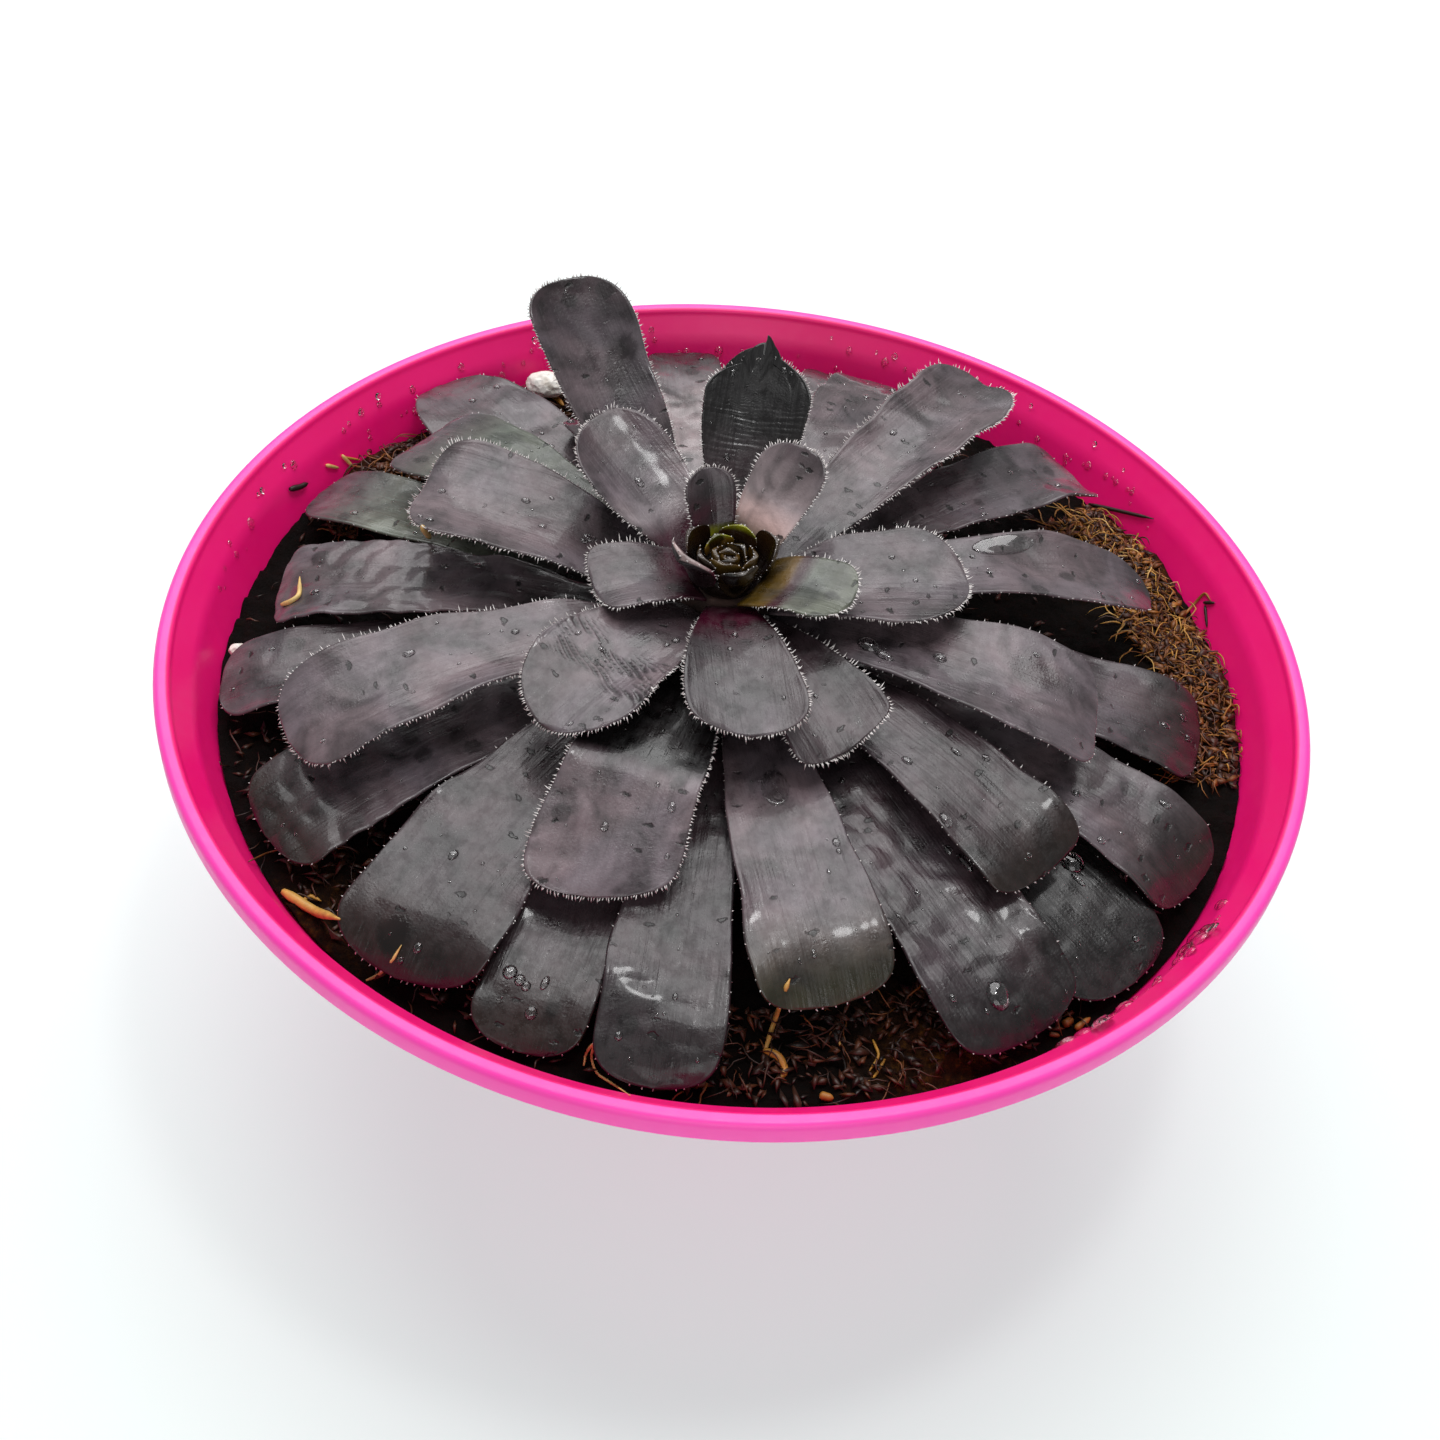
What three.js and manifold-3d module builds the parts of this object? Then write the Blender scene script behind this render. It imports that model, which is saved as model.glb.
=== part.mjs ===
// Potted aeonium: a low rosette of dark wedge-shaped leaves on a short stem, growing in peat in a
// shallow bowl pot of pink plastic. Millimetres, +Z up, origin at the centre of the pot's foot.
import * as THREE from 'three';
import { mergeVertices } from 'three/addons/utils/BufferGeometryUtils.js';
import Module from 'manifold-3d';

const wasm = await Module();
wasm.setup();

// Driving dimensions of the pot
const RIM_R = 80; // outer radius of the rolled rim
const RIM_Z = 64; // height of the pot
const BEAD_H = 3.5; // height of the rolled rim
const ROUND = 1.1; // rounding of the rim's edges
const LIP_OUT = 1.8; // how far the rim stands out over the bowl
const TAPER = 0.33; // how much the bowl narrows for each mm of depth
const BELLY = 0.005; // and how much more with the depth squared
const WALL = 1.6; // wall of the bowl
const SIDES = 48; // facets round the bowl and the peat
const FOOT_R = 36; // outer radius of the foot ring
const FOOT_IN = 32; // inner radius of the foot ring
const BOSS_R = 12; // flat boss in the middle, as low as the foot
const ARCH_Z = 1.1; // how far the base is raised between the foot and the boss
const FLOOR_Z = 3; // top of the bowl's floor
const DRAINS = 6; // drain holes, in a ring
const DRAIN_R = 2.4;
const DRAIN_RING = 24; // radius of the ring they are in

// Driving dimensions of the plant
const GAP = 0.3; // clearance between separate pieces
const STAND = [-3, -1]; // where the stem stands, a little off the pot's axis
const SOIL_Z = RIM_Z - 9.7; // mean level of the peat
const STEM_R = 8; // stem where it enters the peat
const STEM_TOP_R = 8.8; // stem under the leaves, swollen by their roots
const STEM_HOLE_Z = 34; // bottom of the stem's hole in the peat
const CROWN_Z = RIM_Z + 9.6; // underside of the growing tip
const CROWN_R = 4.3; // radius of the growing tip's core
const YOUNG = 8; // leaves folded over the growing tip
const YOUNG_T = 1; // their thickness
const LEAF_T = 1.9; // leaf thickness at the root
const BLADE_T = 1.4; // leaf thickness along the blade
const EDGE_T = 0.7; // leaf thickness at its margin
const FLARE = 1.5; // how fast a leaf widens from its root: 1 is a straight wedge
const FLAT = 0.6; // where a stone's flat underside lies, as a share of its half height
const STONE_LIFT = 0.5; // how far it stays over the peat's mean level, which its crumbs fill
const BEND_AT = 0.8; // where along its length a leaf's tip starts to bend down

const PINK = new THREE.MeshStandardMaterial({ color: 0xf03a9c, roughness: 0.35, metalness: 0 });
const PEAT = new THREE.MeshStandardMaterial({ color: 0x2a1a12, roughness: 0.95, metalness: 0 });
const BARK = new THREE.MeshStandardMaterial({ color: 0x3b2620, roughness: 0.85, metalness: 0 });
const LEAF = new THREE.MeshStandardMaterial({ color: 0x4a4346, roughness: 0.45, metalness: 0 });
const TIP = new THREE.MeshStandardMaterial({ color: 0x4a4a1e, roughness: 0.4, metalness: 0 });
const STONE = new THREE.MeshStandardMaterial({ color: 0xe9e6df, roughness: 0.8, metalness: 0 });

const group = new THREE.Group();
const plant = new THREE.Group();
plant.position.set(STAND[0], STAND[1], 0);
group.add(plant);
const rad = THREE.MathUtils.degToRad;
const smooth = (x, a, b) => THREE.MathUtils.smoothstep(x, a, b);

function addMesh(name, geometry, material, parent = group) {
  const mesh = new THREE.Mesh(geometry, material);
  mesh.name = name;
  parent.add(mesh);
  return mesh;
}

function bare(geometry) {
  const copy = geometry.clone();
  copy.deleteAttribute('normal');
  copy.deleteAttribute('uv');
  return mergeVertices(copy, 1e-4);
}

function toSolid(geometry) {
  const g = bare(geometry);
  return new wasm.Manifold(new wasm.Mesh({
    numProp: 3,
    vertProperties: new Float32Array(g.attributes.position.array),
    triVerts: new Uint32Array(g.index.array),
  }));
}

function toGeometry(solid) {
  const mesh = solid.getMesh();
  const g = new THREE.BufferGeometry();
  g.setAttribute('position', new THREE.BufferAttribute(new Float32Array(mesh.vertProperties), 3));
  g.setIndex(new THREE.BufferAttribute(new Uint32Array(mesh.triVerts), 1));
  g.computeVertexNormals();
  return g;
}

// A closed body turned about the vertical axis. The profile runs from a point on the axis to another
// one, and its points are [radius, height, rough]. lift(x, y) is added to the height of rough points.
function turned(profile, sides, lift = null) {
  const pos = [];
  const index = [];
  const ring = [];
  for (const [r, z, rough] of profile) {
    const row = [];
    const count = r === 0 ? 1 : sides;
    for (let k = 0; k < count; k += 1) {
      const a = (2 * Math.PI * k) / sides;
      const x = r * Math.cos(a);
      const y = r * Math.sin(a);
      row.push(pos.length / 3);
      pos.push(x, y, z + (rough ? lift(x, y) : 0));
    }
    ring.push(row);
  }
  for (let i = 0; i + 1 < ring.length; i += 1) {
    const a = ring[i];
    const b = ring[i + 1];
    for (let k = 0; k < sides; k += 1) {
      const n = (k + 1) % sides;
      if (a.length > 1 && b.length > 1) index.push(a[k], a[n], b[n], a[k], b[n], b[k]);
      else if (b.length > 1) index.push(a[0], b[n], b[k]);
      else index.push(a[k], a[n], b[0]);
    }
  }
  const g = new THREE.BufferGeometry();
  g.setAttribute('position', new THREE.Float32BufferAttribute(pos, 3));
  g.setIndex(index);
  g.computeVertexNormals();
  return g;
}

// Outer radius of the bowl at a depth under the rim
const bowlR = (depth) => RIM_R - LIP_OUT - TAPER * depth - BELLY * depth * depth;
const innerR = (depth) => bowlR(depth) - WALL;
const levels = [5, 14, 28, 42, 54]; // heights at which both faces of the bowl have a ring

// Pot: a bowl with a rolled rim, a foot ring, a raised drain floor and a flat boss in the middle
function potGeometry() {
  const low = RIM_Z - BEAD_H;
  const base = [
    [0, 0], [BOSS_R, 0], [BOSS_R + 1, ARCH_Z], [FOOT_IN - 1, ARCH_Z], [FOOT_IN, 0], [FOOT_R, 0],
    [FOOT_R + 1.4, 0.8],
  ];
  const outside = levels.map((z) => [bowlR(RIM_Z - z), z]);
  const rim = [
    [bowlR(BEAD_H), low - GAP], [RIM_R - ROUND / 2, low], [RIM_R, low + ROUND], [RIM_R, RIM_Z - ROUND],
    [RIM_R - ROUND / 2, RIM_Z - ROUND / 5], [RIM_R - 1.2 * ROUND, RIM_Z],
    [RIM_R - 2 * ROUND, RIM_Z - ROUND / 2],
  ];
  const inside = levels.map((z) => [innerR(RIM_Z - z), z]).reverse();
  const floor = [[inside[inside.length - 1][0] - 3, FLOOR_Z], [0, FLOOR_Z]];
  let solid = toSolid(turned([...base, ...outside, ...rim, ...inside, ...floor], SIDES));
  for (let k = 0; k < DRAINS; k += 1) {
    const a = (2 * Math.PI * (k + 0.5)) / DRAINS;
    const hole = new THREE.CylinderGeometry(DRAIN_R, DRAIN_R, 2 * FLOOR_Z, 16);
    hole.rotateX(Math.PI / 2);
    hole.translate(DRAIN_RING * Math.cos(a), DRAIN_RING * Math.sin(a), FLOOR_Z / 2);
    solid = solid.subtract(toSolid(hole));
  }
  return toGeometry(solid);
}

// Low heaps of the peat by the wall: azimuth, distance from the axis, height
const heaps = [[148, 70, 2], [122, 70, 1.6], [30, 71, 1.8], [6, 72, 1.4], [296, 67, 0.9], [228, 71, 0.8]];

function peatLift(x, y) {
  let h = 0.35 * Math.sin(x / 5.1 + 1.3) * Math.cos(y / 4.3) + 0.25 * Math.sin(x / 2.9 - y / 3.7);
  for (const [az, r, up] of heaps) {
    const d = Math.hypot(x - r * Math.cos(rad(az)), y - r * Math.sin(rad(az)));
    h += up * Math.exp(-(d * d) / 30);
  }
  return h;
}

// Peat: fills the bowl, with a rough top, low heaps by the wall and a plain hole where the stem stands
function peatGeometry() {
  const edge = innerR(RIM_Z - SOIL_Z) - 2 * GAP;
  const bottom = [[0, FLOOR_Z + GAP], [innerR(RIM_Z - levels[0]) - 3.4, FLOOR_Z + GAP]];
  for (const z of levels.slice(0, -1)) bottom.push([innerR(RIM_Z - z) - 0.4, z]);
  bottom.push([edge - 1, SOIL_Z - 1.8]);
  const holeR = STEM_R + GAP;
  const top = [edge, 69, 64, 58, 50, 41, 32, 23, holeR + 1].map((r) => [r, SOIL_Z, true]);
  const hole = [[holeR, SOIL_Z - 1.4], [holeR, STEM_HOLE_Z], [0, STEM_HOLE_Z]];
  const g = turned([...bottom, ...top, ...hole], SIDES, peatLift);
  const p = g.attributes.position;
  for (let i = 0; i < p.count; i += 1) {
    const share = 1 - smooth(Math.hypot(p.getX(i), p.getY(i)), 2 * holeR, 4 * holeR);
    p.setXY(i, p.getX(i) + STAND[0] * share, p.getY(i) + STAND[1] * share);
  }
  g.computeVertexNormals();
  return g;
}

// Stem: a short woody stump, from the peat up to the growing tip, narrowing between the leaf roots
function stemGeometry() {
  return turned([
    [0, STEM_HOLE_Z + GAP], [STEM_R - 1.8, STEM_HOLE_Z + GAP], [STEM_R - 0.6, STEM_HOLE_Z + 3],
    [STEM_R, SOIL_Z - 3], [STEM_R, SOIL_Z + 2], [STEM_TOP_R, RIM_Z - 4], [STEM_TOP_R, RIM_Z + 2.9],
    [STEM_TOP_R - 1.7, RIM_Z + 5.6], [CROWN_R + 0.4, RIM_Z + 8.8], [CROWN_R - 0.1, CROWN_Z - GAP],
    [0, CROWN_Z - GAP],
  ], 20);
}

const rootR = (z0) => Math.max(5.2, STEM_TOP_R + 0.6 - Math.max(0, z0 - 3.5) * 0.72);
const stations = [0, 0.12, 0.26, 0.42, 0.56, 0.7, 0.82, 0.91, 0.965, 1];
const across = [-1, -0.62, 0, 0.62, 1];
const STEPS = 60; // steps along a leaf's midline
const BEYOND = 1.2; // how far the midline is worked out, for leaves with a slanting end

// One leaf as a closed body. It leaves the stem at azimuth az and height z0 over the rim plane. Its
// pitch runs from rise at the root to droop at the tip, curl bends the tip, and fold bends it at one
// place. Margins stand up by cup. The width grows from neck, its share at the root, to the full width
// at the share widest of the length, and blunt says how square the end is. The leaf veers to one side
// by veer degrees, and its end is cut on a slant.
function leafGeometry(leaf) {
  const { az, z0, long, wide, rise, droop, cup, curl, neck, widest, blunt, veer, slant, fold } = leaf;
  const { r0 = rootR(z0), rootT = LEAF_T, bladeT = BLADE_T } = leaf;
  const last = STEPS * BEYOND;
  const turnAt = (u) => rad(az + veer * u * u);
  const along = (u) => {
    let p = rise + (droop - rise) * u + curl * smooth(u, BEND_AT, 1);
    if (fold) p += fold[1] * smooth(u, fold[0] - 0.04, fold[0] + 0.04);
    const a = turnAt(u);
    const flat = Math.cos(rad(p));
    return new THREE.Vector3(flat * Math.cos(a), flat * Math.sin(a), Math.sin(rad(p)));
  };
  const mid = [new THREE.Vector3(r0 * Math.cos(rad(az)), r0 * Math.sin(rad(az)), RIM_Z + z0)];
  for (let i = 0; i < last; i += 1) {
    const mean = along(i / STEPS).add(along((i + 1) / STEPS));
    mid.push(mid[i].clone().addScaledVector(mean, long / STEPS / 2));
  }
  const pointAt = (u) => {
    const i = Math.min(Math.floor(u * STEPS), last - 1);
    return mid[i].clone().lerp(mid[i + 1], u * STEPS - i);
  };
  const pos = [];
  const rows = stations.map((u) => {
    const tip = Math.max(0, (u - widest) / (1 - widest));
    const end = Math.max(0.16, Math.sqrt(Math.max(0, 1 - tip ** blunt)));
    const grown = 1 - (1 - Math.min(u / widest, 1)) ** FLARE;
    const half = (wide / 2) * (neck + (1 - neck) * grown) * end;
    const body = rootT + (bladeT - rootT) * smooth(u, 0, 0.5);
    const first = pos.length / 3;
    for (const face of [1, -1]) {
      for (const v of across) {
        const reach = u + slant * v * u ** 4 * end;
        const a = turnAt(reach);
        const side = new THREE.Vector3(-Math.sin(a), Math.cos(a), 0);
        const up = new THREE.Vector3().crossVectors(along(reach), side);
        const t = 0.5 * Math.max(EDGE_T, body * Math.sqrt(1 - v * v));
        const q = pointAt(reach).addScaledVector(side, half * v)
          .addScaledVector(up, cup * (half / (wide / 2)) * v * v + face * t);
        pos.push(q.x, q.y, q.z);
      }
    }
    return first;
  });
  const m = across.length;
  const index = [];
  for (let i = 0; i + 1 < rows.length; i += 1) {
    const a = rows[i];
    const b = rows[i + 1];
    for (let j = 0; j + 1 < m; j += 1) {
      index.push(a + j, b + j, b + j + 1, a + j, b + j + 1, a + j + 1);
      index.push(a + m + j, b + m + j + 1, b + m + j, a + m + j, a + m + j + 1, b + m + j + 1);
    }
    index.push(a, a + m, b + m, a, b + m, b);
    index.push(a + m - 1, b + m - 1, b + 2 * m - 1, a + m - 1, b + 2 * m - 1, a + 2 * m - 1);
  }
  const z = rows[rows.length - 1];
  for (let j = 0; j + 1 < m; j += 1) {
    index.push(j, j + 1, j + 1 + m, j, j + 1 + m, j + m);
    index.push(z + j, z + j + m, z + j + 1 + m, z + j, z + j + 1 + m, z + j + 1);
  }
  const g = new THREE.BufferGeometry();
  g.setAttribute('position', new THREE.Float32BufferAttribute(pos, 3));
  g.setIndex(index);
  g.computeVertexNormals();
  return g;
}

// Leaves, ring by ring from the lowest. Columns: azimuth, root height over the rim plane, length, width,
// pitch at the root, pitch at the tip, cup, curl, veer, slant, and then a leaf's own shape where it differs
// from its ring's
const rings = {
  outer: {
    shape: { neck: 0.2, widest: 0.88, blunt: 4 },
    leaves: [
      [286, 2.6, 54, 17, 8, -15, 1, -30, 6, 0],
      [269, 0.3, 63, 15, 6, -14, 1, -25, 0, 0],
      [254, -2, 61, 14, 4, -12, 1, -20, 5, 0],
      [237, 0.3, 61, 20, 6, -13, 1, -30, 14, 0, { blunt: 2.5 }],
      [214, -2, 59, 18, 6, -14, 1, -15, 8, 0],
      [193, -2, 60, 14, 5, -13, 1, -10, 0, 0],
      [177, 0.3, 55, 16, 8, -16, 1, -20, 4, 0],
      [156, -2.6, 60, 13, 5, -12, 1, -10, 4, 0],
      [145, 0.7, 50, 18, 18, -16, 1, -10, 4, 0],
      [133, -2, 64, 20, 4, -6, 1, -10, 0, 0, { widest: 0.7, blunt: 2.5 }],
      [118, 0.3, 41, 13, 18, -15, 1, -15, 0, 0],
      [100, -2, 63, 12, 3, -7, 1, -10, 0, 0],
      [76, 0.3, 64, 15, 8, -17, 1, -15, 2, 0],
      [71, 2.6, 57, 14, 15, -19, 1, -10, 0, 0],
      [64, -2, 52, 14, 5, -14, 1, -10, 0, 0],
      [43, 0.3, 62, 15, 13, -17, 1.5, -10, -4, 0],
      [20, 2.6, 58, 14, 17, -26, 1.5, -10, -10, 0, { widest: 0.7, blunt: 2 }],
      [360, -2, 61, 17, 5, -14, 1, -20, -12, 0],
      [338, 0.3, 65, 16, 6, -15, 1, -25, -12, 0],
      [323, -2, 65, 18, 3, -13, 1, -10, -8, 0],
      [306, 0.3, 64, 19, 4, -13, 1, -25, 3, 0],
    ],
  },
  middle: {
    shape: { neck: 0.3, widest: 0.82, blunt: 3.5 },
    leaves: [
      [207, 3.6, 53, 17, 14, -20, 1.5, -15, 8, 0],
      [165, 5, 38, 20, 20, -8, 2.5, -10, 0, -0.05],
      [127, 5, 46, 15, 24, 38, 2.5, 0, 0, 0],
      [87, 5, 34, 15, 36, 38, 2.5, 10, 0, 0, { widest: 0.75, blunt: 2 }],
      [53, 5, 57, 15, 16, -9, 2.5, -5, 8, 0, { blunt: 2.5 }],
      [343, 5.6, 46, 18, 13, -13, 1.5, -20, 4, -0.04, { blunt: 5 }],
      [321, 4, 50, 16, 6, -10, 1, -25, -6, 0, { widest: 0.9, blunt: 5 }],
      [257, 4.6, 45, 18, 10, 4, 1, 0, 0, -0.05, { neck: 0.5, blunt: 5, fold: [0.62, -30] }],
      [236, 7.3, 31, 17, 24, -16, 2, 0, 0, 0.04, { widest: 0.68, blunt: 2 }],
      [3, 7.5, 27, 19, 20, -2, 2, 0, 2, 0, { neck: 0.5, widest: 0.65, blunt: 2 }],
      [305, 7.1, 26, 15, 13, -13, 2, 0, -4, -0.08, { widest: 0.9 }],
    ],
  },
  inner: {
    shape: { neck: 0.6, widest: 0.72, blunt: 2.5 },
    leaves: [
      [279, 8.7, 26, 15, 22, -10, 2, 0, 4, 0.03, { neck: 0.4, widest: 0.8, blunt: 3.5 }],
      [337, 10.2, 14, 12, 33, 0, 1.5, 0, 0, 0, { neck: 0.9, blunt: 2 }],
      [204, 10.2, 14, 12, 30, -14, 1.5, 0, 0, 0, { neck: 0.8, widest: 0.8, blunt: 3.5 }],
      [140, 8.7, 25, 15, 28, 22, 2.5, 0, 0, -0.08, { neck: 0.3, widest: 0.65 }],
      [59, 10.2, 17, 10, 43, 38, 2, 0, 0, 0],
      [116, 11.4, 11, 7, 62, 60, 1.5, 0, 4, 0],
      [227, 12.4, 7, 7, 68, 50, 1, 0, 0, 0],
    ],
  },
};

for (const [ring, { shape, leaves }] of Object.entries(rings)) {
  leaves.forEach((row, k) => {
    const [az, z0, long, wide, rise, droop, cup, curl, veer, slant, own] = row;
    const leaf = { az, z0, long, wide, rise, droop, cup, curl, veer, slant, ...shape, ...own };
    addMesh(`leaf_${ring}_${String(k + 1).padStart(2, '0')}`, leafGeometry(leaf), LEAF, plant);
  });
}

// Growing tip: a small bud in a cup of its youngest leaves, grown as one piece
function crownGeometry() {
  const core = turned([
    [0, 0], [CROWN_R - 0.2, 0], [CROWN_R, 1.2], [CROWN_R - 0.4, 2.6], [CROWN_R - 1.6, 3.2], [1.6, 4.4],
    [0, 4.6],
  ], 14);
  core.translate(0, 0, CROWN_Z);
  let solid = toSolid(core);
  for (let k = 0; k < YOUNG; k += 1) {
    const inward = k / (YOUNG - 1);
    const leaf = leafGeometry({
      az: 20 + 137.5 * k, z0: 11 + 1.2 * inward, r0: 3 - 1.9 * inward, long: 5.6 - 2.6 * inward,
      wide: 5 - 2 * inward, rise: 52 + 18 * inward, droop: 78 + 28 * inward, cup: 1.1, curl: 0,
      neck: 0.6, widest: 0.74, blunt: 2.8, veer: 0, slant: 0, rootT: YOUNG_T, bladeT: 0.8 * YOUNG_T,
    });
    solid = solid.add(toSolid(leaf));
  }
  return toGeometry(solid);
}

// A white stone lying on the peat on a small flat spot
function stoneGeometry(size, turn) {
  const g = bare(new THREE.IcosahedronGeometry(1, 2));
  const p = g.attributes.position;
  for (let i = 0; i < p.count; i += 1) {
    const [x, y, z] = [p.getX(i), p.getY(i), p.getZ(i)];
    const bump = 1 + 0.07 * Math.sin(4 * x + turn) + 0.06 * Math.cos(5 * y + 2 * z);
    p.setXYZ(i, size[0] * x * bump, size[1] * y * bump, Math.max(-FLAT, z * bump) * size[2]);
  }
  g.rotateZ(turn);
  g.computeVertexNormals();
  return g;
}

addMesh('pot', potGeometry(), PINK);
addMesh('soil', peatGeometry(), PEAT);
addMesh('stem', stemGeometry(), BARK, plant);
addMesh('crown', crownGeometry(), TIP, plant);

// Stones: azimuth, distance from the axis, half sizes, turn
const stones = [[122, 69.4, [3.6, 2.4, 2.1], 0.5], [186, 70.6, [1.4, 1.1, 1.0], 0.2]];
stones.forEach(([az, r, size, turn], k) => {
  const x = r * Math.cos(rad(az));
  const y = r * Math.sin(rad(az));
  const stone = addMesh(`stone_${k + 1}`, stoneGeometry(size, turn), STONE);
  stone.position.set(x, y, SOIL_Z + peatLift(x, y) + FLAT * size[2] + STONE_LIFT);
});

export default group;
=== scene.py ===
"""Potted aeonium: dark wet leaves with fringed margins, in peat in a shallow pink plastic bowl.

The shapes are worked out in millimetres and turned to metres when a piece is made.
"""

import math
import bmesh
import bpy
import numpy as np
from mathutils import Matrix, Vector, noise
from mathutils.bvhtree import BVHTree


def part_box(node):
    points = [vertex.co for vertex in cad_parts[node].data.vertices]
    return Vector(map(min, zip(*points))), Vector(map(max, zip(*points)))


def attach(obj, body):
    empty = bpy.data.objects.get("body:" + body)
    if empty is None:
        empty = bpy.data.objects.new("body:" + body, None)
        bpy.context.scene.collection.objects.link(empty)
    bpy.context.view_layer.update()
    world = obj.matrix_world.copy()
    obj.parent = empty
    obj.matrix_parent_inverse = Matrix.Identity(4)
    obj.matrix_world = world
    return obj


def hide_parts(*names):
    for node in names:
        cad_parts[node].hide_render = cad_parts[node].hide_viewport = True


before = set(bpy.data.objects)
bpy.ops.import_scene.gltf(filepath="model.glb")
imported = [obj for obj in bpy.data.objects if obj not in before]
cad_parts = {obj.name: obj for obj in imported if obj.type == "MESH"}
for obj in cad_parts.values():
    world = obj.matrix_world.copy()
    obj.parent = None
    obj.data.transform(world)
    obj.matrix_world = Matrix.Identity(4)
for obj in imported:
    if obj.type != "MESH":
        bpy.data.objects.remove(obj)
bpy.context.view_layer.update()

MM = 0.001
UP = np.array([0.0, 0.0, 1.0])

# Driving dimensions, in mm
pot_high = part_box("pot")[1]
RIM_R = pot_high.x / MM
RIM_Z = pot_high.z / MM
WALL = 1.6
LIP_H = 3.5
LIP_OUT = 1.8  # how far the lip stands out over the wall
TAPER, BELLY = 0.33, 0.005  # how fast the bowl narrows from its lip down, and how that grows with depth
FOOT_R, FOOT_Z = 37.2, 0.8  # where the outside starts to rise from the foot ring
KNEE_Z = 5.0  # where the bowl's curve takes over from the straight run above the foot
FLOOR_Z = 3.0
DRAINS, DRAIN_RING_R, DRAIN_R = 6, 24, 2.4
SOIL_Z = RIM_Z - 9.7
STEM_R = 8.0
STEM_HOLE_R, STEM_HOLE_Z = STEM_R + 0.3, RIM_Z - 30
CROWN_Z = RIM_Z + 9.6
BUD_R = 3.9
STAND = np.array([-3.0, -1.0])  # where the stem stands, a little off the pot's axis

# What all leaves share
LEAF_T, BLADE_T, EDGE_T = 1.9, 1.4, 0.7  # thickness at the root, in the blade and at the margin
FLARE = 1.5  # how fast a leaf widens from its root: 1 is a straight wedge
BEND_AT = 0.8  # where along its length a leaf's tip starts to bend down
BEYOND = 1.2  # how far the midline is worked out, for leaves with a slanting end
MESH_STEP, FINE_STEP = 0.6, 0.22  # size of a leaf's faces, and of those that carry wrinkles or are tiny
HAIR_GAP, HAIR_LONG = 0.38, (0.45, 0.85)  # between the hairs of the most hairy leaves, and their length

# The photograph's frame and the camera that was fitted to the pot's rim
PHOTO = 1440
SENSOR = 36.0
FOCAL = 1847 / PHOTO * SENSOR  # it is 1847 pixels of the photograph
EYE = np.array([0.0, -188.7, RIM_Z + 178.9])
LOOKED_AT = np.array([0.2, -17.9, RIM_Z])
ROLL = math.radians(6.65)
SHIFT = -13 / PHOTO


# ---------------------------------------------------------------- small helpers


def smooth(x, start, end):
    """0 before start, 1 after end, soft between them."""
    t = np.clip((np.asarray(x, float) - start) / (end - start), 0, 1)
    return t * t * (3 - 2 * t)


def unit(v):
    v = np.asarray(v, float)
    return v / np.maximum(np.linalg.norm(v, axis=-1, keepdims=True), 1e-9)


def between(x, places, rows):
    """Rows of numbers that are known at places, read off at x."""
    return np.stack([np.interp(x, places, column) for column in np.asarray(rows).T], -1)


def swell(x, y, seed, size, waves=7):
    """An uneven soft relief of about -1 to 1 whose humps are about size mm wide."""
    rng = np.random.RandomState(seed)
    total = 0
    for _ in range(waves):
        turn, start = rng.uniform(0, 2 * np.pi, 2)
        pitch = 2 * np.pi / (size * rng.uniform(0.8, 1.9))
        total = total + np.sin((x * np.cos(turn) + y * np.sin(turn)) * pitch + start)
    return total / (0.9 * waves**0.5)


def linear(code):
    """An sRGB hex colour as linear red, green, blue and alpha."""
    parts = [int(code[k:k + 2], 16) / 255 for k in (1, 3, 5)]
    return [c / 12.92 if c <= 0.04045 else ((c + 0.055) / 1.055) ** 2.4 for c in parts] + [1.0]


def add(tree, kind, feeds=(), take=0, ramp=(), **settings):
    """Adds a node and gives the output that take names.

    feeds is what its sockets get, by name or in their order: numbers, colours or other nodes' outputs.
    The order of a MapRange is value, from low, from high, to low, to high.
    """
    made = tree.nodes.new("ShaderNode" + kind)
    for name, value in settings.items():
        setattr(made, name, value)
    for name, value in feeds.items() if isinstance(feeds, dict) else enumerate(feeds):
        if isinstance(value, bpy.types.NodeSocket):
            tree.links.new(value, made.inputs[name])
        else:
            made.inputs[name].default_value = value
    if ramp:
        stops = made.color_ramp.elements
        while len(stops) < len(ramp):
            stops.new(1.0)
        for stop, (place, colour) in zip(stops, ramp):
            stop.position, stop.color = place, linear(colour)
    return made.outputs[take] if len(made.outputs) else None


def new_finish(name, recipe):
    """A material with one Principled shader, whose sockets get what recipe makes in the material's tree."""
    finish = bpy.data.materials.new(name)
    finish.use_nodes = True
    tree = finish.node_tree
    tree.nodes.clear()
    shader = add(tree, "BsdfPrincipled", recipe(tree))
    add(tree, "OutputMaterial", {"Surface": shader})
    return finish


def put(name, data):
    """A new object in the scene."""
    obj = bpy.data.objects.new(name, data)
    bpy.context.scene.collection.objects.link(obj)
    return obj


def make_piece(name, points, faces, finish, slot, stands_for=(), **marks):
    """A mesh piece from points in mm. marks are per-point attributes: numbers, places or colours."""
    mesh = bpy.data.meshes.new(name)
    mesh.from_pydata((np.asarray(points, float) * MM).tolist(), [], faces)
    mesh.polygons.foreach_set("use_smooth", [True] * len(mesh.polygons))
    kinds = {1: ("FLOAT", "value"), 3: ("FLOAT_VECTOR", "vector"), 4: ("FLOAT_COLOR", "color")}
    for mark, values in marks.items():
        values = np.asarray(values, np.float32)
        kind, field = kinds[values.size // len(values)]
        mesh.attributes.new(mark, kind, "POINT").data.foreach_set(field, values.ravel())
    mesh.update()
    mesh.materials.append(finish)
    obj = put(name, mesh)
    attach(obj, "root")
    if stands_for:
        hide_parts(*stands_for)
    return obj


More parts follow.
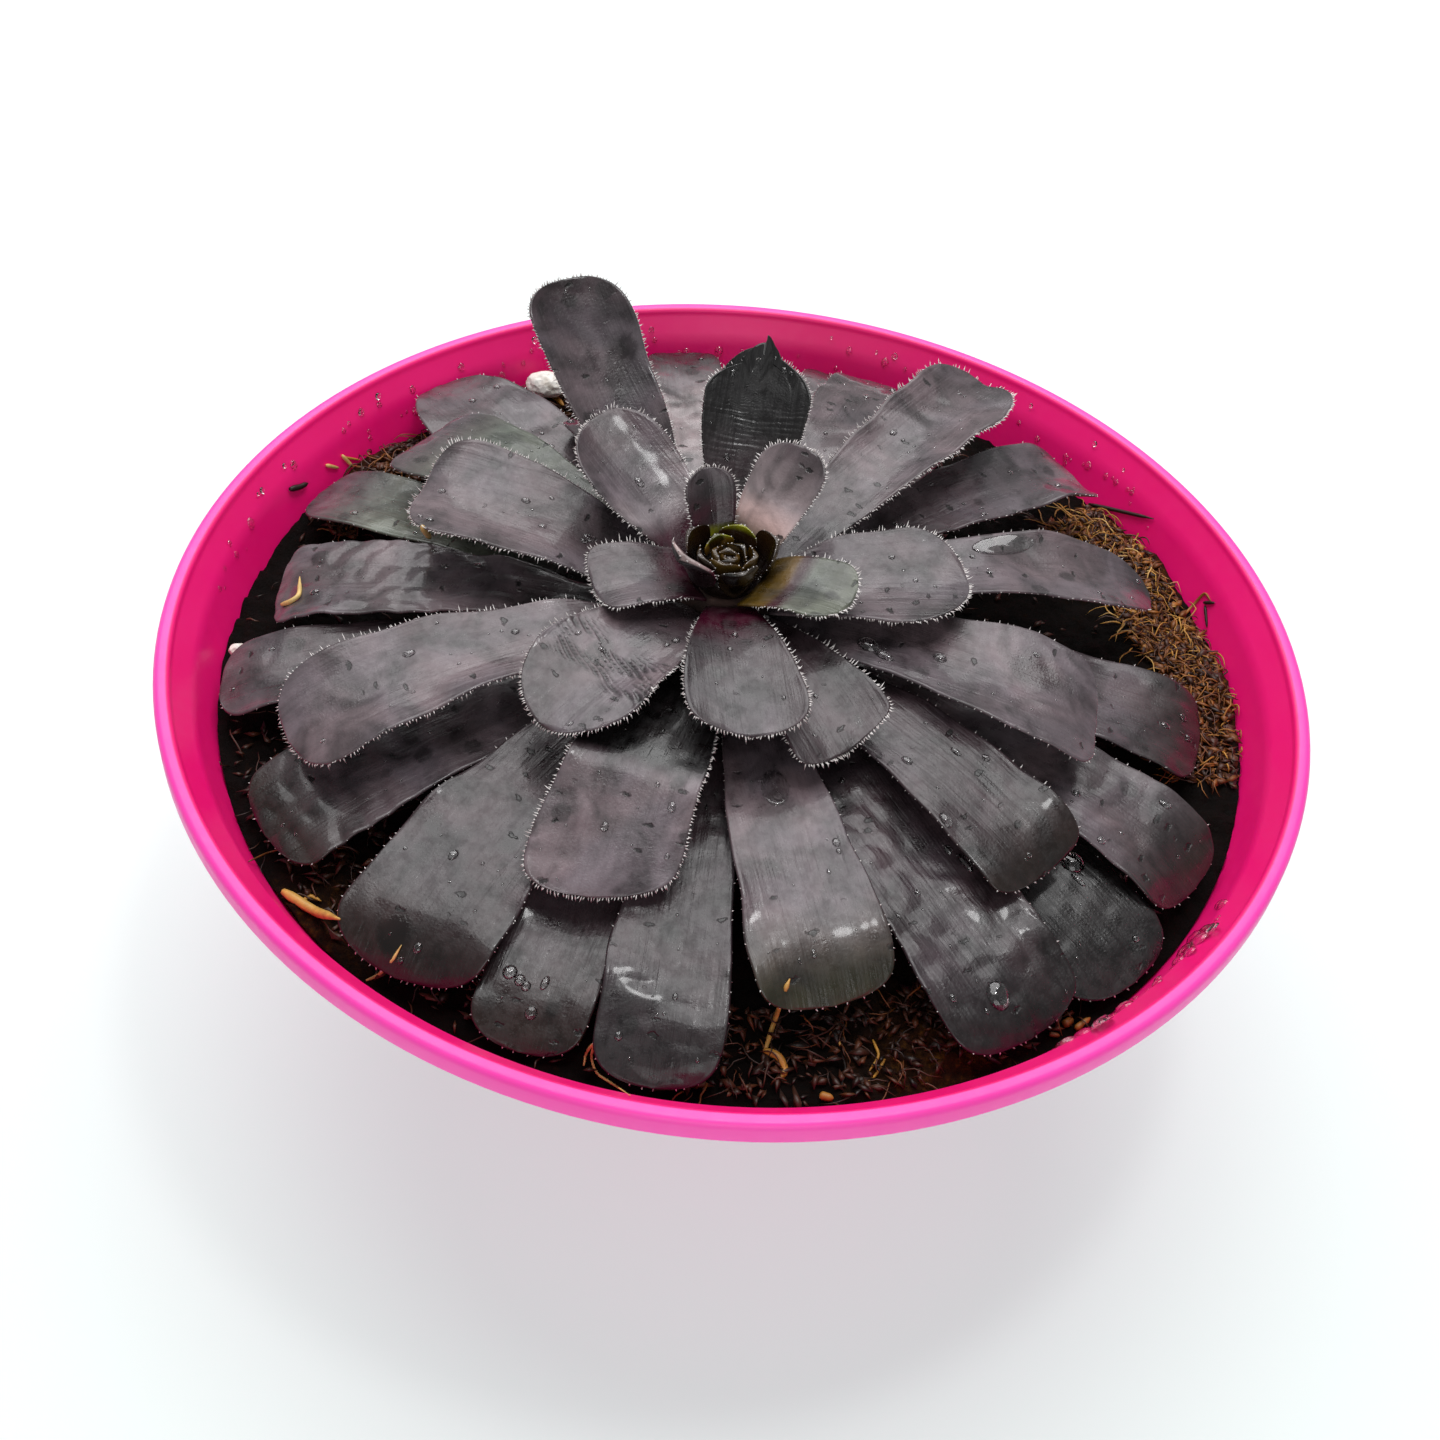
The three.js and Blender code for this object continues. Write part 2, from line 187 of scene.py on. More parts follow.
def ring_faces(rows, count, first=0):
    """Quads between neighbouring closed rings of count points."""
    r = np.arange(rows - 1)[:, None] * count + first
    k = np.arange(count)[None, :]
    n = (k + 1) % count
    return np.stack([r + k, r + n, r + n + count, r + k + count], -1).reshape(-1, 4).tolist()


def joined(parts):
    """Several (points, faces, extra arrays) as one, with the faces renumbered."""
    points, faces, extras = [], [], []
    count = 0
    for p, f, *more in parts:
        points.append(p)
        faces += [[i + count for i in face] for face in f]
        extras.append(more)
        count += len(p)
    return np.concatenate(points), faces, [np.concatenate(e) for e in zip(*extras)]


def turned(profile, sides):
    """A closed body turned about the vertical axis. Its profile of (radius, height) starts and ends there."""
    rings = np.array([p for p in profile if p[0] > 0], float)
    a = 2 * np.pi * np.arange(sides) / sides
    points = np.stack([
        rings[:, :1] * np.cos(a), rings[:, :1] * np.sin(a), rings[:, 1:] + 0 * a,
    ], -1).reshape(-1, 3)
    low, high = len(points), len(points) + 1
    points = np.vstack([points, [0, 0, profile[0][1]], [0, 0, profile[-1][1]]])
    last = (len(rings) - 1) * sides
    faces = ring_faces(len(rings), sides)
    for k in range(sides):
        n = (k + 1) % sides
        faces += [[low, n, k], [high, last + k, last + n]]
    return points, faces


def arc(cx, cz, radius, start, end, steps):
    """Points on an arc in the (radius, height) plane, angles in degrees."""
    return [
        (cx + radius * math.cos(a), cz + radius * math.sin(a))
        for a in np.radians(np.linspace(start, end, steps))
    ]


# ---------------------------------------------------------------- camera and what it sees


def camera_axes():
    ahead = unit(LOOKED_AT - EYE)
    right = unit(np.cross(ahead, UP))
    top = np.cross(right, ahead)
    c, s = math.cos(ROLL), math.sin(ROLL)
    return c * right + s * top, -s * right + c * top, ahead


def make_camera():
    right, top, ahead = camera_axes()
    data = bpy.data.cameras.new("camera")
    data.lens, data.sensor_width = FOCAL, SENSOR
    data.shift_x = SHIFT
    data.clip_start, data.clip_end = 0.01, 20
    camera = put("camera", data)
    turn = Matrix(np.column_stack([right, top, -ahead]).tolist()).to_4x4()
    camera.matrix_world = Matrix.Translation(Vector(EYE * MM)) @ turn
    bpy.context.scene.camera = camera


def sight(px, py):
    """The direction in which the camera sees a pixel of the photograph."""
    right, top, ahead = camera_axes()
    focal = FOCAL / SENSOR * PHOTO
    middle = PHOTO / 2
    return unit(ahead * focal + right * (px - middle + SHIFT * PHOTO) - top * (py - middle))


def look(tree, px, py):
    """What the camera sees of tree's surface at a pixel: point, normal and distance, or nothing."""
    hit, normal, _, away = tree.ray_cast(Vector(EYE), Vector(sight(px, py)))
    return (np.array(hit), unit(np.array(normal)), away) if hit else None


# ---------------------------------------------------------------- materials

# Each recipe adds its nodes to a tree and gives what the Principled shader's sockets get.


def polypropylene(tree):
    """Hot pink polypropylene, injection moulded: satin gloss, a little wavy, with a redder pink painted on
    the faces inside the bowl as painted bounce light, for light that goes round in there."""
    place = add(tree, "TexCoord", take="Object")
    # Mould flow as soft waves about 25 mm long, and a grain of 2 mm that only changes the gloss
    flow = add(tree, "TexNoise", {"Vector": place, "Scale": 1 / (25 * MM), "Detail": 1.0})
    grain = add(tree, "TexNoise", {"Vector": place, "Scale": 1 / (2 * MM), "Detail": 2.0})
    # Two copies of the pink: the plain one outside, and a redder one that is painted bounce light for the
    # inside
    outside = add(tree, "ValToRGB", [flow], ramp=[(0.3, "#fa3fae"), (0.7, "#ff4ab6")])
    inside = add(tree, "ValToRGB", [flow], ramp=[(0.3, "#f80e76"), (0.7, "#ff147e")])
    # Painted bounce light: faces that look to the pot's axis get the redder pink, as light goes round in the
    # bowl
    facing = add(tree, "NewGeometry", take="Normal")
    level = add(tree, "VectorMath", [place, (1, 1, 0)], operation="MULTIPLY")
    inward = add(tree, "VectorMath", [level, facing], take="Value", operation="DOT_PRODUCT")
    share = add(tree, "MapRange", [inward, -0.03, -0.01, 1.0, 0.0])
    return {
        "Base Color": add(tree, "Mix", {0: share, 6: outside, 7: inside}, take=2, data_type="RGBA"),
        "Roughness": add(tree, "MapRange", [grain, 0.3, 0.7, 0.34, 0.44]),
        "Normal": add(tree, "Bump", {"Height": flow, "Strength": 0.3, "Distance": 0.6 * MM}),
        "IOR": 1.49,
        "Subsurface Weight": 0.1, "Subsurface Scale": 3 * MM, "Subsurface Radius": (1.0, 0.15, 0.5),
    }


def leaf_skin(tree):
    """Aeonium leaf: living waxy skin, just watered. A satin sheen in patches, fine streaks along the leaf,
    short dents darkened by marks and painted shade, round stains, and wet places that are darker and
    smoother."""
    # leaf_place is in mm: along the leaf, across it, and a number that keeps leaves unlike each other
    place = add(tree, "Attribute", take="Vector", attribute_name="leaf_place")
    tint = add(tree, "Attribute", take="Color", attribute_name="leaf_tint")
    wet = add(tree, "Attribute", take="Fac", attribute_name="leaf_wet")

    # Streaks 0.7 mm wide and 14 mm long, lighter and darker patches of 7 mm, and cooler ones of 9 mm
    stretched = add(tree, "VectorMath", [place, (1 / 14, 1 / 0.7, 1.0)], operation="MULTIPLY")
    streak = add(tree, "TexNoise", {"Vector": stretched, "Scale": 1.0, "Detail": 3.0})
    blotch = add(tree, "TexNoise", {
        "Vector": place, "Scale": 1 / 7, "Detail": 3.0, "Roughness": 0.6, "Distortion": 0.6})
    cloud = add(tree, "TexNoise", {"Vector": place, "Scale": 1 / 9, "Detail": 1.0})
    shade = add(tree, "MapRange", [blotch, 0.34, 0.66, 0.35, 1.45])
    fine = add(tree, "MapRange", [streak, 0.3, 0.7, 0.93, 1.07])
    level = add(tree, "Math", [shade, fine], operation="MULTIPLY")
    toned = add(tree, "VectorMath", {0: tint, "Scale": level}, operation="SCALE")
    cooler = add(tree, "VectorMath", [toned, (0.9, 0.97, 1.0)], operation="MULTIPLY")
    cool = add(tree, "MapRange", [cloud, 0.44, 0.6, 0.0, 1.0])
    mixed = add(tree, "Mix", {0: cool, 6: toned, 7: cooler}, take=2, data_type="RGBA")

    # The same place, bent a little so that marks get uneven outlines
    ripple = add(tree, "TexNoise", {"Vector": place, "Scale": 1 / 0.9, "Detail": 3.0}, take="Color")
    bent = add(tree, "VectorMath", [ripple, (1.3, 1.3, 0.0), place], operation="MULTIPLY_ADD")

    # Stains: round darker blotches of 2 to 3 mm where water has stood, in half of the cells
    stain = add(tree, "TexVoronoi", {"Vector": bent, "Scale": 1 / 6.5, "Randomness": 1.0})
    disc = add(tree, "MapRange", [stain, 0.17, 0.23, 0.55, 0.0])
    lot = add(tree, "SeparateColor", [stain.node.outputs["Color"]])
    drawn = add(tree, "Math", [lot, 0.5], operation="GREATER_THAN")
    stains = add(tree, "Math", [disc, drawn], operation="MULTIPLY")

    # Dents: about 1.2 mm long across the leaf and half as wide, in about a quarter of the cells. They are
    # sunk
    #     # in the relief and darker in colour: dark marks, with painted shade in their hollows
    across = add(tree, "VectorMath", [bent, (1.0, 0.5, 1.0)], operation="MULTIPLY")
    dent = add(tree, "TexVoronoi", {"Vector": across, "Scale": 1 / 1.7, "Randomness": 1.0})
    near = add(tree, "MapRange", [dent, 0.14, 0.24, 1.0, 0.0])
    lot = add(tree, "SeparateColor", [dent.node.outputs["Color"]])
    some = add(tree, "Math", [lot, 0.74], operation="GREATER_THAN")
    dents = add(tree, "Math", [near, some], operation="MULTIPLY")

    # Darker in the stains, and in the dents, where it is dark marks and painted shade in the hollows
    darker = add(tree, "Math", [dents, 0.85, stains], operation="MULTIPLY_ADD")
    soaked = add(tree, "Math", [wet, 0.5, darker], operation="MULTIPLY_ADD")
    left = add(tree, "Math", [1.0, soaked], operation="SUBTRACT", use_clamp=True)
    # The gloss changes in patches of 1.6 mm, and the skin's relief has a grain of 0.35 mm
    mottle = add(tree, "TexNoise", {"Vector": place, "Scale": 1 / 1.6, "Detail": 4.0, "Roughness": 0.7})
    dry = add(tree, "MapRange", [mottle, 0.35, 0.65, 0.2, 0.56])
    skin = add(tree, "TexNoise", {"Vector": place, "Scale": 1 / 0.35, "Detail": 2.0})
    relief = add(tree, "Math", [skin, 0.35, streak], operation="MULTIPLY_ADD")
    sunk = add(tree, "Math", [dents, -1.2, relief], operation="MULTIPLY_ADD")
    return {
        "Base Color": add(tree, "VectorMath", {0: mixed, "Scale": left}, operation="SCALE"),
        "Roughness": add(tree, "Math", [wet, -0.26, dry], operation="MULTIPLY_ADD"),
        "Normal": add(tree, "Bump", {"Height": sunk, "Strength": 0.8, "Distance": 0.18 * MM}),
        "IOR": 1.45, "Coat Weight": 0.55, "Coat Roughness": 0.1, "Coat IOR": 1.33,
    }


def leaf_hair(tree):
    """Leaf hairs: stiff clear bristles of dead cells, whitish because they scatter light."""
    place = add(tree, "TexCoord", take="Object")
    tone = add(tree, "TexNoise", {"Vector": place, "Scale": 1 / (2 * MM), "Detail": 1.0})
    colour = add(tree, "ValToRGB", [tone], ramp=[(0.3, "#cbc2c0"), (0.6, "#fffaf8")])
    return {"Base Color": colour, "Roughness": 0.35, "IOR": 1.5, "Transmission Weight": 0.15}


def water(tree):
    """Water drops: clear, with a smooth skin, so they show as a dark edge and a bright glint."""
    place = add(tree, "TexCoord", take="Object")
    # Faint dust on the skin, about 1 mm
    dust = add(tree, "TexNoise", {"Vector": place, "Scale": 1 / (1 * MM)})
    return {
        "Base Color": linear("#ffffff"),
        "Roughness": add(tree, "MapRange", {"Value": dust, "To Min": 0.0, "To Max": 0.08}),
        "IOR": 1.333, "Transmission Weight": 1.0, "Coat Weight": 1.0,
    }


def damp_peat(tree):
    """Milled peat, damp: near black crumbs with rust brown fibre dust, matt with a few wet glints."""
    place = add(tree, "TexCoord", take="Object")
    heap = add(tree, "Attribute", take="Fac", attribute_name="peat_heap")
    # Crumbs are 1 to 2 mm, with finer dust in them
    crumb = add(tree, "TexNoise", {
        "Vector": place, "Scale": 1 / (1.8 * MM), "Detail": 6.0, "Roughness": 0.75})
    dark = add(tree, "ValToRGB", [crumb], ramp=[(0.35, "#040201"), (0.58, "#0b0503"), (0.78, "#231208")])
    rust = add(tree, "ValToRGB", [crumb], ramp=[(0.32, "#120803"), (0.52, "#45240d"), (0.74, "#9a6621")])
    return {
        "Base Color": add(tree, "Mix", {0: heap, 6: dark, 7: rust}, take=2, data_type="RGBA"),
        "Roughness": add(tree, "MapRange", [crumb, 0.35, 0.7, 0.6, 1.0]),
        "Normal": add(tree, "Bump", {"Height": crumb, "Strength": 1.0, "Distance": 1.2 * MM}),
        "IOR": 1.33, "Specular IOR Level": 0.2,
    }


def coir(tree):
    """Coconut fibre and chips in the peat: dry golden to rust strands, slightly glossy along their length."""
    tone = add(tree, "Attribute", take="Fac", attribute_name="fibre_tone")
    colour = add(tree, "ValToRGB", [tone], ramp=[
        (0.0, "#150a05"), (0.3, "#4a2410"), (0.55, "#8a5018"), (0.8, "#c08a35"), (1.0, "#e0bd78")])
    place = add(tree, "TexCoord", take="Object")
    patch = add(tree, "TexNoise", {"Vector": place, "Scale": 1 / (1.2 * MM)})
    level = add(tree, "MapRange", {"Value": patch, "To Min": 0.55, "To Max": 1.3})
    shaded = add(tree, "VectorMath", {0: colour, "Scale": level}, operation="SCALE")
    return {"Base Color": shaded, "Roughness": 0.5, "IOR": 1.5}


def stem_bark(tree):
    """Stem: brown bark with leaf scars, matt."""
    place = add(tree, "TexCoord", take="Object")
    scars = add(tree, "TexNoise", {"Vector": place, "Scale": 1 / (3 * MM), "Detail": 4.0})
    return {
        "Base Color": add(tree, "ValToRGB", [scars], ramp=[(0.35, "#120a08"), (0.65, "#3b2620")]),
        "Roughness": 0.8,
        "Normal": add(tree, "Bump", {"Height": scars, "Strength": 0.8, "Distance": 0.4 * MM}),
        "IOR": 1.45,
    }


def grit(tree):
    """Pumice grit: white, matt, with open pores of about 1 mm."""
    place = add(tree, "TexCoord", take="Object")
    pores = add(tree, "TexVoronoi", {"Vector": place, "Scale": 1 / (0.9 * MM)})
    cloud = add(tree, "TexNoise", {"Vector": place, "Scale": 1 / (2 * MM), "Detail": 3.0})
    return {
        "Base Color": add(tree, "ValToRGB", [cloud], ramp=[(0.35, "#cfc6bb"), (0.6, "#f4f0ea")]),
        "Roughness": 0.85,
        "Normal": add(tree, "Bump", {"Height": pores, "Strength": 0.7, "Distance": 0.3 * MM}),
        "IOR": 1.5,
    }


def pale_floor(tree):
    """Studio floor: a white matt board, lit from below as a light table is."""
    place = add(tree, "TexCoord", take="Object")
    cloud = add(tree, "TexNoise", {"Vector": place, "Scale": 3.0})
    # Painted counter-light: close round the pot the board's glow is painted cooler, against the pink light
    # the pot throws on it
    away = add(tree, "VectorMath", [place], take="Value", operation="LENGTH")
    near = add(tree, "MapRange", {"Value": away, "From Min": 60 * MM, "From Max": 300 * MM})
    return {
        "Base Color": add(tree, "ValToRGB", [cloud], ramp=[(0.3, "#c6c6c8"), (0.7, "#cacaca")]),
        "Roughness": 0.9, "Specular IOR Level": 0.2,
        "Emission Color": add(tree, "ValToRGB", [near], ramp=[
            (0.0, "#d6fff2"), (0.4, "#e4fff8"), (1.0, "#ffffff")]),
        "Emission Strength": 0.44,
    }


PINK = new_finish("polypropylene_moulded_pink", polypropylene)
SKIN = new_finish("leaf_skin_waxy_wet", leaf_skin)
HAIR = new_finish("leaf_hair_bristle", leaf_hair)
WATER = new_finish("water_clear", water)
PEAT = new_finish("peat_milled_damp", damp_peat)
COIR = new_finish("coir_fibre_dried", coir)
BARK = new_finish("stem_bark", stem_bark)
GRIT = new_finish("pumice_grit", grit)


# ---------------------------------------------------------------- pot

# The pot's underside from the axis out, as radius and height: a boss with a dimple, a hollow, the foot ring
UNDERSIDE = [
    (0, 0.5), (1.2, 0.5), (1.6, 0.0), (12, 0), (12.6, 0.2), (13, 1.1), (31, 1.1), (31.6, 0.4), (32.2, 0),
    (35.6, 0), (36.4, 0.15), (37.0, 0.5),
]


def bowl_r(z):
    """Outer radius of the bowl at a height."""
    depth = RIM_Z - z
    return RIM_R - LIP_OUT - TAPER * depth - BELLY * depth * depth


def outer_r(z):
    """Outer radius of the pot's wall at a height, with the straight run above its foot."""
    if z > KNEE_Z:
        return bowl_r(z)
    return FOOT_R + (bowl_r(KNEE_Z) - FOOT_R) * (z - FOOT_Z) / (KNEE_Z - FOOT_Z)


def inner_r(z):
    return bowl_r(z) - WALL


def make_pot():
    low = RIM_Z - LIP_H
    outside = [(outer_r(z), z) for z in np.linspace(FOOT_Z, low - 0.5, 30)]
    hem, shoulder, crest = 0.6, 0.9, 0.8  # radii of the lip's lower, outer and inner edges
    lip = [
        (RIM_R - 1.6, low - 0.12), *arc(RIM_R - hem, low + hem, hem, -90, 0, 5),
        *arc(RIM_R - shoulder, RIM_Z - shoulder, shoulder, 0, 90, 7),
        *arc(RIM_R - 1.5, RIM_Z - crest, crest, 100, 170, 6), (RIM_R - 2.5, RIM_Z - 1.3),
    ]
    fillet, fillet_z = 2.4, 6  # between the wall and the floor
    inside = [(inner_r(z), z) for z in np.linspace(RIM_Z - 3, fillet_z, 26)]
    floor = [*arc(inner_r(fillet_z) - fillet, FLOOR_Z + fillet, fillet, -15, -90, 6), (14, FLOOR_Z),
             (0, FLOOR_Z)]
    points, faces = turned([*UNDERSIDE, *outside, *lip, *inside, *floor], 192)
    pot = make_piece("pot_bowl", points, faces, PINK, "pot_plastic", ["pot"])
    cutters = bmesh.new()
    for k in range(DRAINS):
        a = 2 * math.pi / DRAINS * (k + 0.5)
        place = Vector((DRAIN_RING_R * math.cos(a), DRAIN_RING_R * math.sin(a), 2)) * MM
        bmesh.ops.create_cone(cutters, cap_ends=True, segments=32, radius1=DRAIN_R * MM,
                              radius2=DRAIN_R * MM, depth=8 * MM, matrix=Matrix.Translation(place))
    mesh = bpy.data.meshes.new("drain_cutters")
    cutters.to_mesh(mesh)
    cutters.free()
    cutter = put("drain_cutters", mesh)
    cut = pot.modifiers.new("drain_holes", "BOOLEAN")
    cut.operation, cut.solver, cut.object = "DIFFERENCE", "EXACT", cutter
    bored = bpy.data.meshes.new_from_object(pot.evaluated_get(bpy.context.evaluated_depsgraph_get()))
    pot.modifiers.clear()
    pot.data = bored
    bpy.data.objects.remove(cutter)
    return pot


# ---------------------------------------------------------------- peat

# Low heaps by the wall: azimuth, distance from the axis, height, and how much coconut fibre they hold
HEAPS = [
    (148, 70, 2.0, 0.7), (122, 70, 1.6, 0.5), (30, 71, 1.8, 1.0), (6, 72, 1.4, 0.9), (296, 67, 0.9, 0.6),
    (228, 71, 0.8, 0.3),
]
HEAP_SPREAD, FIBRE_SPREAD = 30, 60  # mm^2: how far a heap's height and its fibre reach
# Where coconut fibre lies: azimuth and half spread in degrees, nearest and furthest distance from the axis,
# then the number of fibres and of chips, and their darkest and lightest tone
COIR_PATCHES = [
    ((28, 14, 61, 71.5), 330, 800, 0.2, 0.95), ((4, 13, 63, 72), 230, 520, 0.15, 0.8),
    ((146, 16, 63, 71.5), 170, 420, 0.1, 0.6), ((120, 12, 64, 71.5), 60, 200, 0.1, 0.5),
    ((290, 22, 58, 71), 110, 420, 0.0, 0.5), ((228, 30, 56, 71), 90, 320, 0.0, 0.4),
    ((180, 180, 30, 71.5), 160, 700, 0.0, 0.3),
]
# A chip before it is roughened, sized and turned: a flat splinter with six corners and eight faces
CHIP = np.array([[1, 0, 0], [-1, 0, 0], [0, 1, 0], [0, -1, 0], [0, 0, 1], [0, 0, -1]]) * [1.6, 0.6, 0.25]
CHIP_EDGES = ((0, 2), (2, 1), (1, 3), (3, 0))
CHIP_FACES = [[a, b, 4] for a, b in CHIP_EDGES] + [[a, 5, b] for a, b in CHIP_EDGES]


def heap_parts(x, y):
    """Each heap's height, its share of fibre and the squared distance to it."""
    for azimuth, r, height, share in HEAPS:
        a = math.radians(azimuth)
        yield height, share, (x - r * math.cos(a)) ** 2 + (y - r * math.sin(a)) ** 2


def peat_z(x, y):
    """Height of the peat's top, without its crumbs."""
    z = SOIL_Z + 0.35 * np.sin(x / 5.1 + 1.3) * np.cos(y / 4.3) + 0.25 * np.sin(x / 2.9 - y / 3.7)
    for height, _, d2 in heap_parts(x, y):
        z = z + height * np.exp(-d2 / HEAP_SPREAD)
    return z


def make_peat():
    sides, edge, low = 440, inner_r(SOIL_Z) - 0.25, FLOOR_Z + 0.3
    # Rings 0.7 mm apart where the top is seen, and wider ones under the leaves
    radii = [*np.linspace(edge, 44, 44), *np.linspace(43, STEM_R + 1.3, 14)]
    wall = [(inner_r(z) - 0.4, z) for z in (5, 14, 28, 42)] + [(edge - 0.6, SOIL_Z - 1.8)]
    profile = [
        (0, low), (inner_r(5) - 3.4, low), *wall, *[(r, SOIL_Z) for r in radii],
        (STEM_HOLE_R, SOIL_Z - 1.4), (STEM_HOLE_R, STEM_HOLE_Z), (0, STEM_HOLE_Z),
    ]
    points, faces = turned(profile, sides)
    first = (1 + len(wall)) * sides
    top = slice(first, first + len(radii) * sides)
    share = np.zeros(len(points))
    x, y = points[top, 0], points[top, 1]
    crumb, high = 2.6, 0.9
    crumbs = np.array([
        high * noise.fractal(Vector((a / crumb, b / crumb, 0)), 0.8, 2.1, 4) for a, b in zip(x, y)
    ])
    points[top, 2] = peat_z(x, y) + np.clip(crumbs, -0.9, 1.3)
    near = 1 - smooth(np.hypot(points[:, 0], points[:, 1]), 2 * STEM_HOLE_R, 4 * STEM_HOLE_R)
    points[:, :2] += near[:, None] * STAND
    share[top] = np.clip(sum(s * np.exp(-d2 / FIBRE_SPREAD) for _, s, d2 in heap_parts(x, y)), 0, 1)
    make_piece("peat_bed", points, faces, PEAT, "peat", ["soil"], peat_heap=share)
    return points, faces


def strand(route, radius, sides=4):
    """A thin tapering strand along its route, closed at both ends."""
    route = np.asarray(route, float)
    along = unit(np.gradient(route, axis=0))
    side = unit(np.cross(along, [0.31, 0.17, 0.93]))
    over = np.cross(along, side)
    taper = np.interp(np.linspace(0, 1, len(route)), [0, 0.15, 0.8, 1], [0.6, 1, 0.85, 0.2])
    a = 2 * np.pi * np.arange(sides) / sides
    wall = (side[:, None] * np.cos(a)[None, :, None] + over[:, None] * np.sin(a)[None, :, None])
    points = (route[:, None] + wall * (radius * taper)[:, None, None]).reshape(-1, 3)
    faces = ring_faces(len(route), sides)
    last = (len(route) - 1) * sides
    return points, faces + [list(range(sides))[::-1], [last + k for k in range(sides)]]


def random_spot(rng, azimuth, spread, r_low, r_high):
    """A place on the peat in one stretch of the ring by the wall."""
    a = math.radians(azimuth + rng.uniform(-spread, spread))
    r = rng.uniform(r_low, r_high)
    return r * math.cos(a), r * math.sin(a)


def loose_fibre(rng, patch):
    """A short stiff fibre that lies in a tangle on the peat, and stays within the wall."""
    x, y = random_spot(rng, *patch)
    heading, bend = rng.uniform(0, 2 * np.pi), rng.uniform(-0.9, 0.9)
    long, hop = rng.uniform(2, 7), rng.uniform(0.2, 1.2)
    steps = 7
    t = np.linspace(0, 1, steps)
    turn = heading + bend * t + 0.35 * np.sin(t * rng.uniform(4, 12))
    x = x + np.cumsum(np.cos(turn)) * long / steps
    y = y + np.cumsum(np.sin(turn)) * long / steps
    far = np.maximum(np.hypot(x, y) / (inner_r(SOIL_Z + 1) - 0.5), 1)
    x, y = x / far, y / far
    z = peat_z(x, y) + 0.25 + hop * (np.sin(np.pi * t) + rng.uniform(-0.6, 0.9) * t)
    return strand(np.stack([x, y, z], 1), rng.uniform(0.06, 0.15))


def chip(rng, patch):
    """A small flat chip of husk that lies on the peat."""
    x, y = random_spot(rng, *patch)
    size = rng.uniform(0.35, 0.95)
    lump = rng.normal(size=(6, 3)) * [1.4, 0.7, 0.3]
    spin, tip = rng.uniform(0, 6.28), rng.uniform(-0.9, 0.9)
    turn = Matrix.Rotation(spin, 3, "Z") @ Matrix.Rotation(tip, 3, "X")
    body = (CHIP + 0.26 * lump) * size @ np.array(turn).T
    return body + [x, y, float(peat_z(x, y)) + 0.2 + rng.uniform(0, 0.7)], CHIP_FACES


def make_coir():
    rng = np.random.RandomState(11)
    parts = []
    for patch, fibres, bits, dark, light in COIR_PATCHES:
        for count, shape, tones in (
                (fibres, loose_fibre, (dark, light)), (bits, chip, (0.4 * dark, 0.7 * light))):
            for _ in range(count):
                points, faces = shape(rng, patch)
                parts.append((points, faces, np.full(len(points), rng.uniform(*tones))))
    points, faces, (tone,) = joined(parts)
    make_piece("peat_fibre", points, faces, COIR, "peat", fibre_tone=tone)


def make_stem():
    """The stem: a foot in the peat, a neck ringed with old leaf scars, and a top that narrows to the bud."""
    foot = [(0, RIM_Z - 29.7), (6.2, RIM_Z - 29.7), (7.4, RIM_Z - 27), (STEM_R, SOIL_Z - 3)]
    neck = [
        (np.interp(z, [SOIL_Z + 2, RIM_Z - 4], [STEM_R, 8.8]) - 0.25 * (k % 2), z)
        for k, z in enumerate(np.linspace(SOIL_Z - 2, RIM_Z + 2.9, 16))
    ]
    top = [(7.1, RIM_Z + 5.6), (4.7, RIM_Z + 8.8), (4.2, CROWN_Z - 0.3), (0, CROWN_Z - 0.3)]
    points, faces = turned(foot + neck + top, 48)
    points[:, :2] += STAND
    make_piece("stem_stump", points, faces, BARK, "stem", ["stem"])


def make_stone(k, seed):
    """A bit of pumice grit where its CAD solid lies."""
    spot = f"stone_{k}"
    low, high = (np.array(c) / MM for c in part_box(spot))
    ball = bmesh.new()
    bmesh.ops.create_icosphere(ball, subdivisions=4, radius=1)
    points = np.array([v.co for v in ball.verts])
    faces = [[v.index for v in f.verts] for f in ball.faces]
    ball.free()
    rough = np.array([
        1 + 0.12 * noise.fractal(Vector(p * 1.7) + Vector((seed, 0, 0)), 0.9, 2.0, 4) for p in points
    ])
    points = points * rough[:, None]
    points[:, 2] = np.maximum(points[:, 2], -0.6)  # it lies on a flat side
    points = (points - points.min(0)) / np.ptp(points, axis=0) * (high - low) + low
    make_piece(f"grit_{k}", points, faces, GRIT, "stone", [spot])


# ---------------------------------------------------------------- leaves

# Leaf colours: mostly what the skin has under its sheen. Some also carry light and shade: char is painted
# shade on
# # roots, ends and whole leaves that lie in shadow, umber on leaf ends is brown with painted shade where they
# bend
# # down, pale on the far leaves is painted sheen, and the lighter grey beyond a fold is painted light
TONES = {
    "ash": "#5c4f53", "slate": "#51464a", "smoke": "#3a2e32", "char": "#171314", "sage": "#5c5f54",
    "pale": "#85787a", "umber": "#1c110d", "moss": "#2a2a1a", "wine": "#33091a", "berry": "#54102a",
    "ochre": "#7c5814", "lime": "#a3a51c", "blush": "#b89a96", "gold": "#5e4513", "cocoa": "#33200f",
    "painted_sheen": "#675a5e", "soot": "#0a0809",
}
# Undersides: the leaf's dark colour, made darker as painted shade so that the gaps under the leaves stay dark
UNDERSIDE_TONE_AND_SHADE = "#1d1214"

